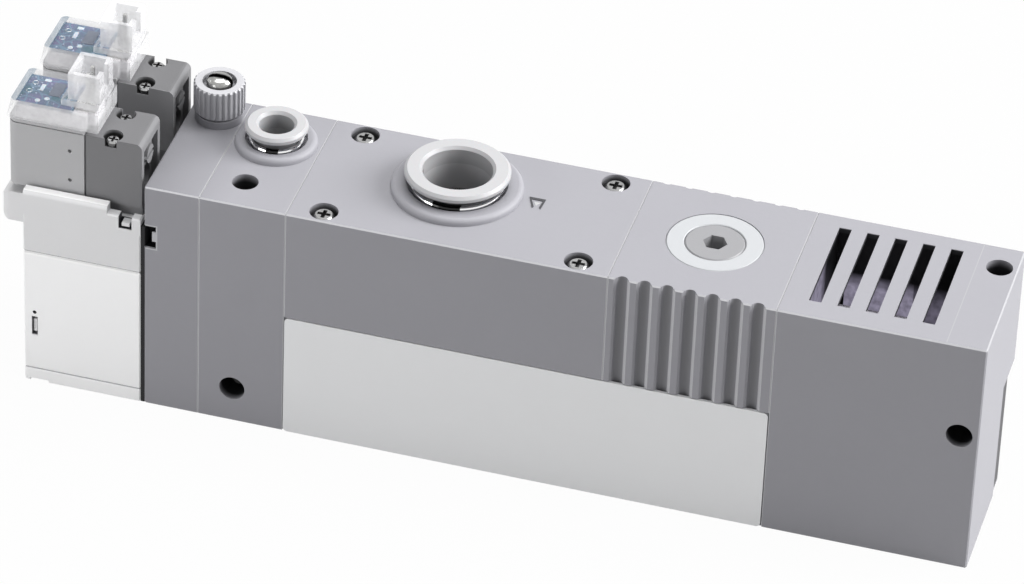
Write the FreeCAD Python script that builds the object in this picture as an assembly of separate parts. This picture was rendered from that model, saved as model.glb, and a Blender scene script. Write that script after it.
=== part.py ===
"""Vacuum ejector with two pilot valves, push-in fittings, release needle and silencer.

Millimetres. The pieces are laid out on a bench frame: x from the left face of the block
stack, y from its front face, z from its base. export_all moves them so that the origin is
the centre of the stack's base, with +X along the stack, +Y to the back and +Z up.
"""
import FreeCAD, Part

import math
import os

from FreeCAD import Rotation, Vector

# Block stack
adapter_length = 9.8
port_length = 15.4
ejector_length = 56.6
filter_length = 29.2
exhaust_length = 36.0
body_width = 30.0
body_height = 46.0
edge_break = 0.25
joint_break = 0.12
x_port = adapter_length
x_ejector = x_port + port_length
x_filter = x_ejector + ejector_length
x_exhaust = x_filter + filter_length
x_end = x_exhaust + exhaust_length

# Clearances
slip = 0.05
screw_gap = 0.15
button_gap = 0.3

# Flow path through the stack
flow_y = 16.0
flow_z = 20.0
supply_duct_r = 2.2
exhaust_duct_r = 3.6
release_duct_r = 1.2
release_inset = 5.7
release_drop = 12.5
release_y = body_width - release_inset
release_z = body_height - release_drop
pressure_duct_r = 1.4
pressure_drop = 11.8
pressure_y = 20.9
pressure_z = body_height - pressure_drop

# Mounting holes, one pair downwards and one pair front to back
mount_hole_r = 2.3
left_hole_x = 15.8
left_hole_y = 6.95
left_cross_x = 16.0
left_cross_z = 7.0
right_hole_x = 143.8
right_hole_y = 23.9
right_cross_x = 143.6
right_cross_z = 27.6

# Face gaskets between the blocks
gasket_thickness = 0.8
gasket_y0 = 8.5
gasket_back_rim = 3.0
gasket_z0 = 9.0
gasket_top_rim = 8.0

# Tie screws along the stack
tie_r = 1.25
tie_back_inset = 6.45
tie_high_z = 28.5
tie_front_y = 11.3
tie_low_z = 12.2
tie_head_r = 2.25
tie_head_length = 2.5
tie_head_sink = 0.2
tie_socket = 2.0
tie_socket_depth = 1.3
tie_grip = 3.9

# Cover screws through the ejector block
cover_screw_r = 1.4
cover_screw_head_r = 1.95
cover_screw_head_length = 1.6
cover_screw_sink = 0.5
cover_counterbore_r = 2.5
cover_screw_end = 5.9
cover_screw_side = 2.95
cover_screw_tip = 0.8
cross_recess_width = 0.7
cross_recess_span = 2.3
cross_recess_depth = 0.9

# Bottom cover
bottom_cover_height = 4.0
bottom_gasket_height = 0.8
chamber_end = 8.0
chamber_side = 6.4
chamber_height = 5.6
chamber_port_r = 1.5
bottom_gasket_rim = 2.0

# Ejector bore and its turned pieces
ejector_bore_r = 6.5
nozzle_flange_length = 5.0
nozzle_length = 21.8
nozzle_barrel_r = 3.2
nozzle_tip_r = 1.6
nozzle_throat_r = 0.65
nozzle_exit_r = 1.0
nozzle_gap = 3.0
first_diffuser_length = 14.0
first_diffuser_r = 3.0
first_throat_r = 1.3
first_exit_r = 1.7
diffuser_land = 3.0
diffuser_gap = 2.0
second_diffuser_r = 4.4
second_inlet_r = 2.4
second_exit_r = 3.4

# Umbrella check valve under the vacuum port
check_web_drop = 15.0
check_web_z = body_height - check_web_drop
check_web_height = 1.5
check_chamber_r = 5.2
check_disc_r = 4.5
check_disc_height = 0.8
check_stem_r = 0.85
check_bulb_r = 1.3
check_bulb_height = 1.2
check_hole_r = 0.9
check_hole_circle_r = 2.7
check_hole_count = 6

# Filter case with ribs, plug and element
rib_pitch = 3.93
groove_count = 7
first_groove = 2.45
groove_width = 2.1
groove_depth = 1.1
groove_shoulder = 0.35
back_groove_depth = 0.5
plug_x = x_filter + filter_length / 2
plug_back_inset = 14.4
plug_y = body_width - plug_back_inset
plug_ring_r = 8.35
plug_ring_height = 2.6
plug_disc_r = 5.2
plug_hex = 3.7
plug_hex_depth = 4.0
plug_shank_r = 5.7
plug_shank_drop = 10.0
plug_shank_z = body_height - plug_shank_drop
element_r = 5.0
element_core_r = 2.2
element_floor_z = 14.8

# Exhaust block and silencer
slot_count = 5
slot_inset = 4.4
slot_pitch = 4.87
slot_width = 2.15
slot_y0 = 4.5
slot_y1 = 26.6
exhaust_wall = 3.0
exhaust_top_wall = 1.0
exhaust_left_wall = 4.2
exhaust_right_wall = 9.0
exhaust_floor = 12.0
silencer_gap = 0.1
silencer_r = body_width / 2 - exhaust_wall - silencer_gap
silencer_length = 15.3
silencer_core_r = 4.2
silencer_core_length = 12.0
corner_cut_depth = 2.4
corner_cut_width = 4.0
corner_cut_height = 23.5
end_strip_width = 5.0
end_strip_depth = 0.3

# Nameplate
plate_height = 24.45
plate_thickness = 0.6
plate_recess = 0.5
plate_margin = 0.15

# Push-in fittings: vacuum port for a 12 mm tube, supply port for a 6 mm tube
vacuum_port_x = 50.6
vacuum_port_y = 16.8
vacuum_tube_r = 6.0
vacuum_boss_r = 11.4
vacuum_boss_height = 1.3
vacuum_ring_r = 9.15
vacuum_bore_r = 8.3
supply_port_x = 17.3
supply_port_y = 19.8
supply_tube_r = 3.0
supply_boss_r = 7.15
supply_boss_height = 1.3
supply_ring_r = 5.5
supply_bore_r = 4.95
ring_flange_height = 1.4
ring_travel = 1.0
ring_sleeve_wall = 0.9
guide_height = 4.8
guide_rise = 0.3
guide_round = 0.4
ring_groove_width = 0.45
ring_groove_depth = 1.0
collet_height = 2.2
tooth_thickness = 0.22
tooth_gap = 0.12
tooth_slot = 0.5
tooth_count = 12
tube_seal_height = 1.8
tube_stop_height = 3.0
ring_lip = 0.2
ring_lip_height = 0.5
ring_lip_gap = 0.1

# Release needle and knob
knob_x = 5.5
knob_y = release_y
knob_r = 4.5
knob_height = 5.7
knob_flutes = 28
knob_flute_r = 0.34
knob_boss_r = 4.2
knob_boss_height = 1.5
knob_recess_r = 3.0
knob_recess_depth = 1.3
needle_r = 1.5
needle_head_r = 2.3
needle_head_rise = 1.0
needle_slot_width = 0.8
needle_slot_depth = 1.3
needle_tip_r = 0.4
needle_taper = 3.0
needle_seal_drop = 4.0
needle_seal_z = body_height - needle_seal_drop
needle_seal_r = 2.5
needle_seal_height = 1.4

# Notch for the valve latch in the adapter block
notch_length = 2.1
notch_depth = 3.0
notch_z0 = 33.4
notch_z1 = 38.0
notch_tooth_length = 0.8
notch_tooth_height = 2.0
notch_tooth_inset = 0.3

# Valve unit left of the stack
valve_gasket_thickness = 0.7
valve_length = 21.3
valve_base_height = 2.8
valve_housing_height = 24.8
valve_head_height = 9.9
valve_break = 0.25
lip_height = 2.7
lip_depth = 2.0
lip_bevel = 0.8
lip_right_gap = 6.1
rim_height = 1.3
cap_length = 4.9
cap_height = 6.0
cap_rise = 0.2
cap_round = 1.6
latch_pocket_width = 2.4
latch_pocket_height = 1.2
latch_pocket_gap = 1.6
latch_tab_width = 1.4
latch_tab_drop = 1.4
latch_tab_gap = 0.4
side_window_inset = 1.4
side_window_width = 1.1
side_window_height = 4.0
side_window_depth = 1.5
side_window_z = 10.0
side_dot_r = 0.35
side_dot_rise = 0.9
base_notch_inset = 1.0
base_notch_length = 3.4
base_notch_depth = 0.8
base_notch_height = 0.6
spool_r = 3.95
spool_waist_r = 2.6
spool_length = 15.7
spool_land = 3.4
spool_gap = 0.3
spool_travel = 2.0
spool_offset = 11.2
spring_wire = 0.5
spool_spring_r = 2.9
spool_spring_turns = 5
stack_screw_y = 16.6
stack_screw_r = 1.5
stack_screw_head_r = 2.6
stack_screw_head_length = 3.0
stack_screw_socket = 2.5
stack_screw_tip = 1.2
stack_screw_inset = 3.8
valve_screw_y = 13.3
valve_screw_low_z = 5.5
valve_screw_drop = 2.6
valve_screw_high_z = valve_base_height + valve_housing_height - valve_screw_drop
valve_screw_socket = 2.0
valve_screw_r = 1.25
valve_screw_head_r = 2.2
valve_screw_head_length = 1.6
valve_screw_reach = 6.5

# Pilot valves
pilot_width = 9.6
pilot_front_y = 2.6
pilot_back_inset = 0.8
pilot_pitch = body_width - pilot_front_y - pilot_width - pilot_back_inset
pilot_right_gap = 0.6
pilot_body_length = 10.4
pilot_body_height = 15.0
pilot_chamfer = 1.1
pilot_neck = 0.35
pilot_foot_depth = 0.45
coil_length = 13.8
coil_lift = 2.0
coil_round = 1.6
coil_groove = 0.22
coil_groove_depth = 0.3
coil_plate = 0.5
coil_dot_r = 0.35
coil_dot_depth = 0.6
coil_dot_inset = 2.6
coil_dot_low = 3.0
coil_dot_high = 4.0
cover_gap = 0.35
cover_lip = 0.65
pilot_screw_r = 0.7
pilot_screw_head_r = 1.25
pilot_screw_head_height = 0.9
pilot_screw_sink = 0.7
pilot_screw_notch_r = 1.75
pilot_screw_spread = 3.4
pilot_screw_inset = 5.6
pilot_recess_span = 1.7
pilot_recess_width = 0.44
pilot_screw_grip = 1.7
end_pocket_depth = 1.0
end_pocket_margin = 1.2
end_pocket_foot = 2.5
end_pocket_head = 2.0
override_r = 1.7
override_length = 3.4
override_z = 47.8
override_travel = 0.8
pressure_port_r = 2.4
pressure_port_z = 43.0
pressure_port_depth = 2.2
armature_r = 2.0
armature_length = 6.4
armature_travel = 0.5
armature_nose_r = 0.9
armature_spring_turns = 4
armature_spring_r = 1.4
armature_spring_wire = 0.35
armature_spring_length = 2.2
coil_r = 3.9
coil_flange = 0.8
coil_winding_r = 3.5
coil_wall = 1.3
board_thickness = 0.7
board_gap = 0.25
board_margin = 0.35
board_header_gap = 0.3
cover_wall = 0.8
cover_top_wall = 0.5
cover_height = 3.8
cover_overhang = 0.3
cover_slant = 0.9
cover_round = 0.9
cover_reach = 2.6
tower_length = 5.7
tower_width = 7.0
tower_height = 6.4
tower_step_length = 6.8
tower_step_width = 8.0
tower_step_height = 1.2
tower_wall = 0.8
tower_right_inset = 0.2
tower_slot_width = 2.4
tower_slot_lift = 2.4
pin_side = 0.64
pin_pitch = 2.5
pin_drop = 1.0
header_length = 3.4
header_width = 5.0

# Places that follow from the sizes above
valve_right_x = -valve_gasket_thickness
valve_left_x = valve_right_x - valve_length
housing_z = valve_base_height
head_z = housing_z + valve_housing_height
seat_z = head_z + valve_head_height
spool_x = valve_right_x - spool_offset
pilot_right_x = -valve_gasket_thickness - pilot_right_gap
pilot_joint_x = pilot_right_x - pilot_body_length
coil_left_x = pilot_joint_x - coil_length
pilot_top_z = seat_z + pilot_body_height
coil_bottom_z = seat_z + coil_lift
coil_top_z = pilot_top_z + coil_plate
cover_rim_z = coil_top_z + cover_gap
cover_top_z = cover_rim_z + cover_height
board_z = cover_top_z - cover_top_wall - board_gap - board_thickness
tower_top_z = cover_top_z + tower_height
board_x0 = coil_left_x - cover_overhang + cover_wall + cover_slant + board_margin
board_half = pilot_width / 2 + cover_overhang - cover_wall - board_margin
tower_x1 = pilot_joint_x + cover_reach - tower_right_inset
tower_x0 = tower_x1 - tower_length
header_x0 = tower_x0 + (tower_length - header_length) / 2
header_x1 = header_x0 + header_length
coil_middle_z = (coil_bottom_z + pilot_top_z) / 2
pilot_middles = [pilot_front_y + pilot_width / 2 + i * pilot_pitch for i in range(2)]
tie_places = [(body_width - tie_back_inset, tie_high_z), (tie_front_y, tie_low_z)]
nozzle_x = x_ejector + gasket_thickness
back_groove_y = body_width - back_groove_depth + groove_width / 2
first_diffuser_x = nozzle_x + nozzle_length + nozzle_gap
second_diffuser_x = first_diffuser_x + first_diffuser_length + diffuser_gap
cover_screw_places = [
    (x, y)
    for x in (x_ejector + cover_screw_end, x_filter - cover_screw_end)
    for y in (cover_screw_side, body_width - cover_screw_side)
]

AXES = {"x": Vector(1, 0, 0), "y": Vector(0, 1, 0), "z": Vector(0, 0, 1)}


def box(x0, x1, y0, y1, z0, z1):
    """Box between two corners."""
    return Part.makeBox(x1 - x0, y1 - y0, z1 - z0, Vector(x0, y0, z0))


def cylinder(radius, length, base, axis):
    """Cylinder from its base point along an axis."""
    return Part.makeCylinder(radius, length, Vector(*base), AXES[axis])


def turned(profile, base, axis):
    """Solid of revolution: profile points are (radius, height along the axis)."""
    points = [Vector(r, 0, h) for r, h in profile]
    face = Part.Face(Part.makePolygon(points + points[:1]))
    solid = face.revolve(Vector(0, 0, 0), Vector(0, 0, 1), 360)
    solid.Placement = FreeCAD.Placement(Vector(*base), Rotation(Vector(0, 0, 1), AXES[axis]))
    return solid


def hexagon(across_flats, length, base, axis, turn=30):
    """Hexagonal prism for a key socket, turned by some degrees about its axis."""
    corner = across_flats / math.sqrt(3)
    points = [Vector(corner * math.cos(a), corner * math.sin(a), 0)
              for a in (math.radians(turn + 60 * i) for i in range(6))]
    prism = Part.Face(Part.makePolygon(points + points[:1])).extrude(Vector(0, 0, length))
    prism.Placement = FreeCAD.Placement(Vector(*base), Rotation(Vector(0, 0, 1), AXES[axis]))
    return prism


def cross_recess(x, y, top_z, span, width, depth):
    """Cross-shaped driver recess in a screw head that faces up."""
    half = span / 2
    arm = width / 2
    floor = top_z - depth
    return box(x - half, x + half, y - arm, y + arm, floor, top_z).fuse(
        box(x - arm, x + arm, y - half, y + half, floor, top_z))


def turn_to(axis):
    """Rotation axis and angle that bring +z onto the named axis."""
    rotation = Rotation(Vector(0, 0, 1), AXES[axis])
    return rotation.Axis, math.degrees(rotation.Angle)


def spring(radius, wire, turns, height, base, axis):
    """Compression spring of square wire from its base point along an axis."""
    rise = height - wire
    helix = Part.makeHelix(rise / turns, rise, radius)
    half = wire / 2
    corners = [Vector(radius + a * half, 0, b * half) for a, b in ((-1, -1), (1, -1), (1, 1), (-1, 1))]
    section = Part.makePolygon(corners + corners[:1])
    coil = Part.Wire(helix.Edges).makePipeShell([section], True, True)
    coil.translate(Vector(0, 0, half))
    coil.rotate(Vector(0, 0, 0), *turn_to(axis))
    coil.translate(Vector(*base))
    return coil


def is_vertical(edge):
    """True for a straight edge along z."""
    a, b = edge.Vertexes[0].Point, edge.Vertexes[-1].Point
    return abs(a.x - b.x) < 1e-6 and abs(a.y - b.y) < 1e-6


def broken_box(x0, x1, y0, y1, z0, z1, size):
    """Box with all its edges broken by a small chamfer."""
    solid = box(x0, x1, y0, y1, z0, z1)
    return solid.makeChamfer(size, solid.Edges)


def stack_block(x0, length, z0=0.0):
    """One block of the stack before its own features, with fine edges at the joints."""
    solid = box(x0, x0 + length, 0, body_width, z0, body_height)
    solid = solid.makeChamfer(edge_break, [e for e in solid.Edges if e.BoundBox.XLength > 1e-6])
    for x in (x0, x0 + length):
        size = edge_break if x in (0, x_end) else joint_break
        rim = [e for e in solid.Edges if abs(e.BoundBox.XMin - x) < 1e-6 and e.BoundBox.XLength < 1e-6]
        solid = solid.makeChamfer(size, rim)
    return solid


def duct(radius, x0, x1, y, z):
    """Duct along the stack."""
    return cylinder(radius, x1 - x0, (x0, y, z), "x")


def tie_holes(x0, x1):
    """Clearance holes for both tie screws."""
    return [duct(tie_r + screw_gap, x0, x1, y, z) for y, z in tie_places]


def gasket_sheet(x0):
    """Outline of a face gasket."""
    return box(x0, x0 + gasket_thickness, gasket_y0, body_width - gasket_back_rim,
               gasket_z0, body_height - gasket_top_rim)


def face_gasket(x0, ducts):
    """Face gasket with a hole for each duct and tie screw."""
    x1 = x0 + gasket_thickness
    holes = [duct(r, x0, x1, y, z) for r, y, z in ducts]
    return gasket_sheet(x0).cut(holes + tie_holes(x0, x1))


supply_duct = (supply_duct_r, flow_y, flow_z)
release_duct = (release_duct_r, release_y, release_z)
pressure_duct = (pressure_duct_r, pressure_y, pressure_z)


class Fitting:
    """Push-in tube fitting that stands in a boss on the top face."""

    def __init__(self, x, y, tube_r, boss_r, boss_height, ring_r, bore_r):
        self.x = x
        self.y = y
        self.tube_r = tube_r
        self.boss_r = boss_r
        self.boss_height = boss_height
        self.ring_r = ring_r
        self.bore_r = bore_r
        self.boss_z = body_height + boss_height
        self.guide_z = self.boss_z - guide_height
        self.collet_z = self.guide_z - collet_height
        self.seal_z = self.collet_z - tube_seal_height
        self.stop_z = self.seal_z - tube_stop_height
        self.sleeve_r = tube_r + slip + ring_sleeve_wall

    def at(self, z):
        """Point on the fitting's axis."""
        return (self.x, self.y, z)

    def boss(self):
        """Raised boss with a rounded rim."""
        solid = cylinder(self.boss_r, self.boss_height + 1, self.at(body_height - 1), "z")
        rim = [e for e in solid.Edges if abs(e.BoundBox.ZMin - self.boss_z) < 1e-6]
        return solid.makeFillet(0.7 * self.boss_height, rim)

    def bore(self):
        """Stepped bore for the fitting's pieces and the end of the tube."""
        wide = cylinder(self.bore_r, self.boss_z - self.seal_z, self.at(self.seal_z), "z")
        stop = cylinder(self.tube_r + 0.1, tube_stop_height, self.at(self.stop_z), "z")
        groove = cylinder(self.bore_r + ring_groove_width, ring_groove_depth,
                          self.at(self.boss_z - ring_groove_depth), "z")
        return wide.fuse([stop, groove])

    def release_ring(self):
        """White release ring: flange on a sleeve, bored for the tube."""
        inner = self.tube_r + slip
        lip_r = self.sleeve_r + ring_lip
        top = guide_rise + button_gap + ring_travel + ring_flange_height
        lip_top = -guide_height - ring_lip_gap
        foot = lip_top - ring_lip_height
        profile = [(inner, foot), (lip_r, foot), (lip_r, lip_top), (self.sleeve_r, lip_top),
                   (self.sleeve_r, top - ring_flange_height),
                   (self.ring_r - 0.4, top - ring_flange_height), (self.ring_r, top - ring_flange_height + 0.4),
                   (self.ring_r, top - 0.5), (self.ring_r - 0.5, top), (inner + 0.5, top), (inner, top - 0.5)]
        return turned(profile, self.at(self.boss_z), "z")

    def guide_ring(self):
        """Bright guide ring that holds the collet down."""
        outer = self.bore_r - slip
        inner = self.sleeve_r + slip
        top = guide_height + guide_rise
        profile = [(inner, 0), (outer, 0), (outer, top - guide_round),
                   (outer - 0.3 * guide_round, top - 0.3 * guide_round), (outer - guide_round, top),
                   (inner + 0.3, top), (inner, top - 0.3)]
        return turned(profile, self.at(self.guide_z), "z")

    def collet(self):
        """Steel collet with a ring of teeth that grip the tube."""
        outer = self.bore_r - slip
        tip = self.tube_r + tooth_gap
        inner = self.sleeve_r + ring_lip + slip
        profile = [(tip, 0), (outer, 0), (outer, collet_height), (inner, collet_height),
                   (inner, 2 * tooth_thickness), (tip, tooth_thickness)]
        ring = turned(profile, self.at(self.collet_z), "z")
        slots = []
        for i in range(tooth_count):
            slot = box(0, inner, -tooth_slot / 2, tooth_slot / 2, -1, 2 * tooth_thickness)
            slot.rotate(Vector(0, 0, 0), Vector(0, 0, 1), 360 * i / tooth_count)
            slot.translate(Vector(self.x, self.y, self.collet_z))
            slots.append(slot)
        return ring.cut(slots)

    def tube_seal(self):
        """Rubber lip seal round the tube."""
        outer = self.bore_r - slip
        inner = self.tube_r + 0.02
        profile = [(inner + 0.5, 0), (outer, 0), (outer, tube_seal_height), (inner, tube_seal_height),
                   (inner, tube_seal_height - 0.6)]
        return turned(profile, self.at(self.seal_z), "z")


vacuum_fitting = Fitting(vacuum_port_x, vacuum_port_y, vacuum_tube_r, vacuum_boss_r,
                         vacuum_boss_height, vacuum_ring_r, vacuum_bore_r)
supply_fitting = Fitting(supply_port_x, supply_port_y, supply_tube_r, supply_boss_r,
                         supply_boss_height, supply_ring_r, supply_bore_r)


def adapter_block():
    """Left block: ducts to the valve unit, needle bore and tie screw seats."""
    top_z = body_height + knob_boss_height
    solid = stack_block(0, adapter_length).fuse(
        cylinder(knob_boss_r, knob_boss_height + 1, (knob_x, knob_y, body_height - 1), "z"))
    tooth_z = (notch_z0 + notch_z1 - notch_tooth_height) / 2
    tooth = box(notch_length - notch_tooth_length, notch_length, notch_tooth_inset, notch_depth,
                tooth_z, tooth_z + notch_tooth_height)
    cuts = [box(-1, notch_length, -1, notch_depth, notch_z0, notch_z1).cut(tooth),
            cylinder(needle_r + slip, top_z - release_z, (knob_x, knob_y, release_z), "z"),
            cylinder(needle_seal_r, needle_seal_height, (knob_x, knob_y, needle_seal_z), "z"),
            duct(release_duct_r, 0, adapter_length, release_y, release_z),
            duct(pressure_duct_r, 0, adapter_length, pressure_y, pressure_z),
            duct(supply_duct_r, 0, adapter_length, flow_y, flow_z),
            box(-1, supply_duct_r, pilot_middles[0] - supply_duct_r, flow_y, flow_z - 1.5, flow_z + 1.5)]
    head_end = tie_head_sink + tie_head_length
    cuts += [duct(tie_head_r + screw_gap, 0, head_end, y, z) for y, z in tie_places]
    cuts += tie_holes(0, adapter_length)
    cuts += [duct(valve_screw_r + slip, 0, valve_screw_reach, valve_screw_y, z)
             for z in (valve_screw_low_z, valve_screw_high_z)]
    return solid.cut(cuts)


def port_block():
    """Block with the supply port and the left mounting holes."""
    stop = supply_fitting.stop_z
    solid = stack_block(x_port, port_length).fuse(supply_fitting.boss())
    cuts = [supply_fitting.bore(), gasket_sheet(x_port),
            cylinder(pressure_duct_r, stop - pressure_z, supply_fitting.at(pressure_z), "z"),
            duct(pressure_duct_r, x_port, supply_port_x, pressure_y, pressure_z),
            duct(supply_duct_r, x_port, x_ejector, flow_y, flow_z),
            duct(release_duct_r, x_port, x_ejector, release_y, release_z),
            cylinder(mount_hole_r, body_height, (left_hole_x, left_hole_y, 0), "z"),
            cylinder(mount_hole_r, body_width, (left_cross_x, 0, left_cross_z), "y")]
    return solid.cut(cuts + tie_holes(x_port, x_ejector))


def ejector_block():
    """Block that holds the nozzle and diffusers under the vacuum port."""
    fitting = vacuum_fitting
    solid = stack_block(x_ejector, ejector_length, bottom_cover_height).fuse(fitting.boss())
    web_top = check_web_z + check_web_height
    cuts = [fitting.bore(), gasket_sheet(x_ejector),
            duct(ejector_bore_r, x_ejector, x_filter, flow_y, flow_z),
            cylinder(vacuum_tube_r - 1, fitting.stop_z - web_top, fitting.at(web_top), "z"),
            cylinder(check_chamber_r, check_web_z - flow_z, fitting.at(flow_z), "z"),
            cylinder(check_stem_r + slip, check_web_height, fitting.at(check_web_z), "z"),
            duct(release_duct_r, x_ejector, vacuum_port_x, release_y, release_z),
            cylinder(release_duct_r, release_y - vacuum_port_y, (vacuum_port_x, vacuum_port_y, release_z), "y"),
            box(x_ejector, x_filter, -1, plate_recess, 0, plate_height)]
    for i in range(check_hole_count):
        angle = 2 * math.pi * i / check_hole_count
        cuts.append(cylinder(check_hole_r, check_web_height,
                             (vacuum_port_x + check_hole_circle_r * math.cos(angle),
                              vacuum_port_y + check_hole_circle_r * math.sin(angle), check_web_z), "z"))
    for x, y in cover_screw_places:
        cuts.append(cylinder(cover_screw_r + screw_gap, body_height, (x, y, 0), "z"))
        depth = cover_screw_sink + cover_screw_head_length
        cuts.append(cylinder(cover_counterbore_r, depth, (x, y, body_height - depth), "z"))
    chamber_top = bottom_cover_height + chamber_height
    cuts.append(box(x_ejector + chamber_end, x_filter - chamber_end, chamber_side,
                    body_width - chamber_side, bottom_cover_height, chamber_top))
    cuts.append(bottom_gasket_outline())
    for x in (first_diffuser_x, second_diffuser_x):
        cuts.append(cylinder(chamber_port_r, flow_z - chamber_top, (x, flow_y, chamber_top), "z"))
    return solid.cut(cuts + tie_holes(x_ejector, x_filter))


def bottom_gasket_outline():
    """Space that the bottom gasket fills in the block's underside."""
    end = chamber_end - bottom_gasket_rim
    side = chamber_side - bottom_gasket_rim + edge_break
    return box(x_ejector + end, x_filter - end, side, body_width - side,
               bottom_cover_height, bottom_cover_height + bottom_gasket_height)


def bottom_gasket():
    """Frame-shaped gasket round the chamber."""
    window = box(x_ejector + chamber_end, x_filter - chamber_end, chamber_side, body_width - chamber_side,
                 bottom_cover_height, bottom_cover_height + bottom_gasket_height)
    return bottom_gasket_outline().cut(window)


def bottom_cover():
    """Plate that closes the chamber and takes the cover screws."""
    solid = broken_box(x_ejector, x_filter, 0, body_width, 0, bottom_cover_height, edge_break)
    cuts = [box(x_ejector, x_filter, -1, plate_recess, 0, bottom_cover_height)]
    depth = bottom_cover_height - cover_screw_tip
    cuts += [cylinder(cover_screw_r + slip, depth, (x, y, cover_screw_tip), "z") for x, y in cover_screw_places]
    return solid.cut(cuts)


def cover_screws():
    """Four cross-head screws from the top of the block to the bottom cover."""
    screws = []
    head_top = body_height - cover_screw_sink
    seat = head_top - cover_screw_head_length
    for x, y in cover_screw_places:
        profile = [(0, 0), (cover_screw_r, 0), (cover_screw_r, seat - cover_screw_tip),
                   (cover_screw_head_r, seat - cover_screw_tip),
                   (cover_screw_head_r, head_top - cover_screw_tip - 0.5),
                   (cover_screw_head_r - 0.5, head_top - cover_screw_tip), (0, head_top - cover_screw_tip)]
        screws.append(turned(profile, (x, y, cover_screw_tip), "z").cut(cross_recess(
            x, y, head_top, cross_recess_span, cross_recess_width, cross_recess_depth)))
    return Part.makeCompound(screws)


def tie_screws():
    """Two long socket screws that hold the stack together."""
    screws = []
    tip = x_exhaust + tie_grip
    for y, z in tie_places:
        head = duct(tie_head_r, tie_head_sink, tie_head_sink + tie_head_length, y, z)
        shank = duct(tie_r, tie_head_sink + tie_head_length, tip, y, z)
        screws.append(head.fuse(shank).cut(hexagon(tie_socket, tie_socket_depth, (tie_head_sink, y, z), "x")))
    return Part.makeCompound(screws)


def ejector_nozzle():
    """Brass nozzle with a converging and diverging throat."""
    flange_r = ejector_bore_r - slip
    taper = 7.0
    throat = nozzle_length - 2.0
    profile = [(supply_duct_r, 0), (flange_r, 0), (flange_r, nozzle_flange_length),
               (nozzle_barrel_r, nozzle_flange_length), (nozzle_barrel_r, nozzle_length - taper),
               (nozzle_tip_r, nozzle_length), (nozzle_exit_r, nozzle_length), (nozzle_throat_r, throat),
               (supply_duct_r, throat - taper)]
    return turned(profile, (nozzle_x, flow_y, flow_z), "x")


def first_diffuser():
    """First stage diffuser with a bell mouth and two lands."""
    flange_r = ejector_bore_r - slip
    length = first_diffuser_length
    profile = [(first_throat_r + 0.9, 0), (first_diffuser_r, 0), (first_diffuser_r, length - 2 * diffuser_land),
               (flange_r, length - 2 * diffuser_land), (flange_r, length - diffuser_land),
               (first_diffuser_r, length - diffuser_land), (first_diffuser_r, length), (first_exit_r, length),
               (first_throat_r, 0.35 * length)]
    return turned(profile, (first_diffuser_x, flow_y, flow_z), "x")


def second_diffuser():
    """Second stage diffuser, seated up to the next block."""
    flange_r = ejector_bore_r - slip
    length = x_filter - second_diffuser_x
    profile = [(second_inlet_r + 0.9, 0), (second_diffuser_r, 0), (second_diffuser_r, diffuser_land),
               (flange_r, diffuser_land), (flange_r, 2 * diffuser_land),
               (second_diffuser_r, 2 * diffuser_land), (second_diffuser_r, length - diffuser_land),
               (flange_r, length - diffuser_land), (flange_r, length), (second_exit_r, length),
               (second_inlet_r, 0.3 * length)]
    return turned(profile, (second_diffuser_x, flow_y, flow_z), "x")


def check_valve():
    """Rubber umbrella valve: disc under the web, stem through it, bulb on top."""
    web_top = check_disc_height + check_web_height
    profile = [(0, 0), (0.5 * check_disc_r, 0), (check_disc_r, 0.6 * check_disc_height),
               (check_disc_r, check_disc_height), (check_stem_r, check_disc_height), (check_stem_r, web_top),
               (check_bulb_r, web_top), (check_bulb_r, web_top + 0.4), (0.4, web_top + check_bulb_height),
               (0, web_top + check_bulb_height)]
    return turned(profile, vacuum_fitting.at(check_web_z - check_disc_height), "z")


def groove_xs():
    """Middle of each groove between the ribs."""
    return [x_filter + first_groove + i * rib_pitch for i in range(groove_count)]


def front_groove(x):
    """Round-bottomed groove with sloped shoulders, open to the front."""
    half = groove_width / 2
    shoulders = [Vector(x - half, groove_shoulder, 0), Vector(x - half - groove_shoulder, 0, 0),
                 Vector(x - half, -1, 0), Vector(x + half, -1, 0),
                 Vector(x + half + groove_shoulder, 0, 0), Vector(x + half, groove_shoulder, 0)]
    opening = Part.Face(Part.makePolygon(shoulders + shoulders[:1])).extrude(Vector(0, 0, body_height))
    return opening.fuse(cylinder(half, body_height, (x, groove_depth - half, 0), "z"))


def filter_case():
    """Ribbed block with the filter bore under the plug."""
    solid = stack_block(x_filter, filter_length)
    cuts = []
    for x in groove_xs():
        cuts += [front_groove(x), cylinder(groove_width / 2, body_height, (x, back_groove_y, 0), "z")]
    ring_z = body_height - plug_ring_height
    cuts += [cylinder(plug_ring_r + slip, plug_ring_height, (plug_x, plug_y, ring_z), "z"),
             cylinder(plug_shank_r + slip, ring_z - element_floor_z, (plug_x, plug_y, element_floor_z), "z"),
             duct(exhaust_duct_r, x_filter, x_exhaust, flow_y, flow_z),
             box(x_filter, x_exhaust, -1, plate_recess, 0, plate_height)]
    return solid.cut(cuts + tie_holes(x_filter, x_exhaust))


def filter_plug():
    """Plug with a hexagon socket in its disc."""
    step_z = body_height - plug_ring_height
    profile = [(0, plug_shank_z), (plug_shank_r, plug_shank_z), (plug_shank_r, step_z),
               (plug_disc_r, step_z), (plug_disc_r, body_height - 0.25), (plug_disc_r - 0.25, body_height),
               (0, body_height)]
    solid = turned(profile, (plug_x, plug_y, 0), "z")
    return solid.cut(hexagon(plug_hex, plug_hex_depth, (plug_x, plug_y, body_height - plug_hex_depth), "z",
                             turn=0))


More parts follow.
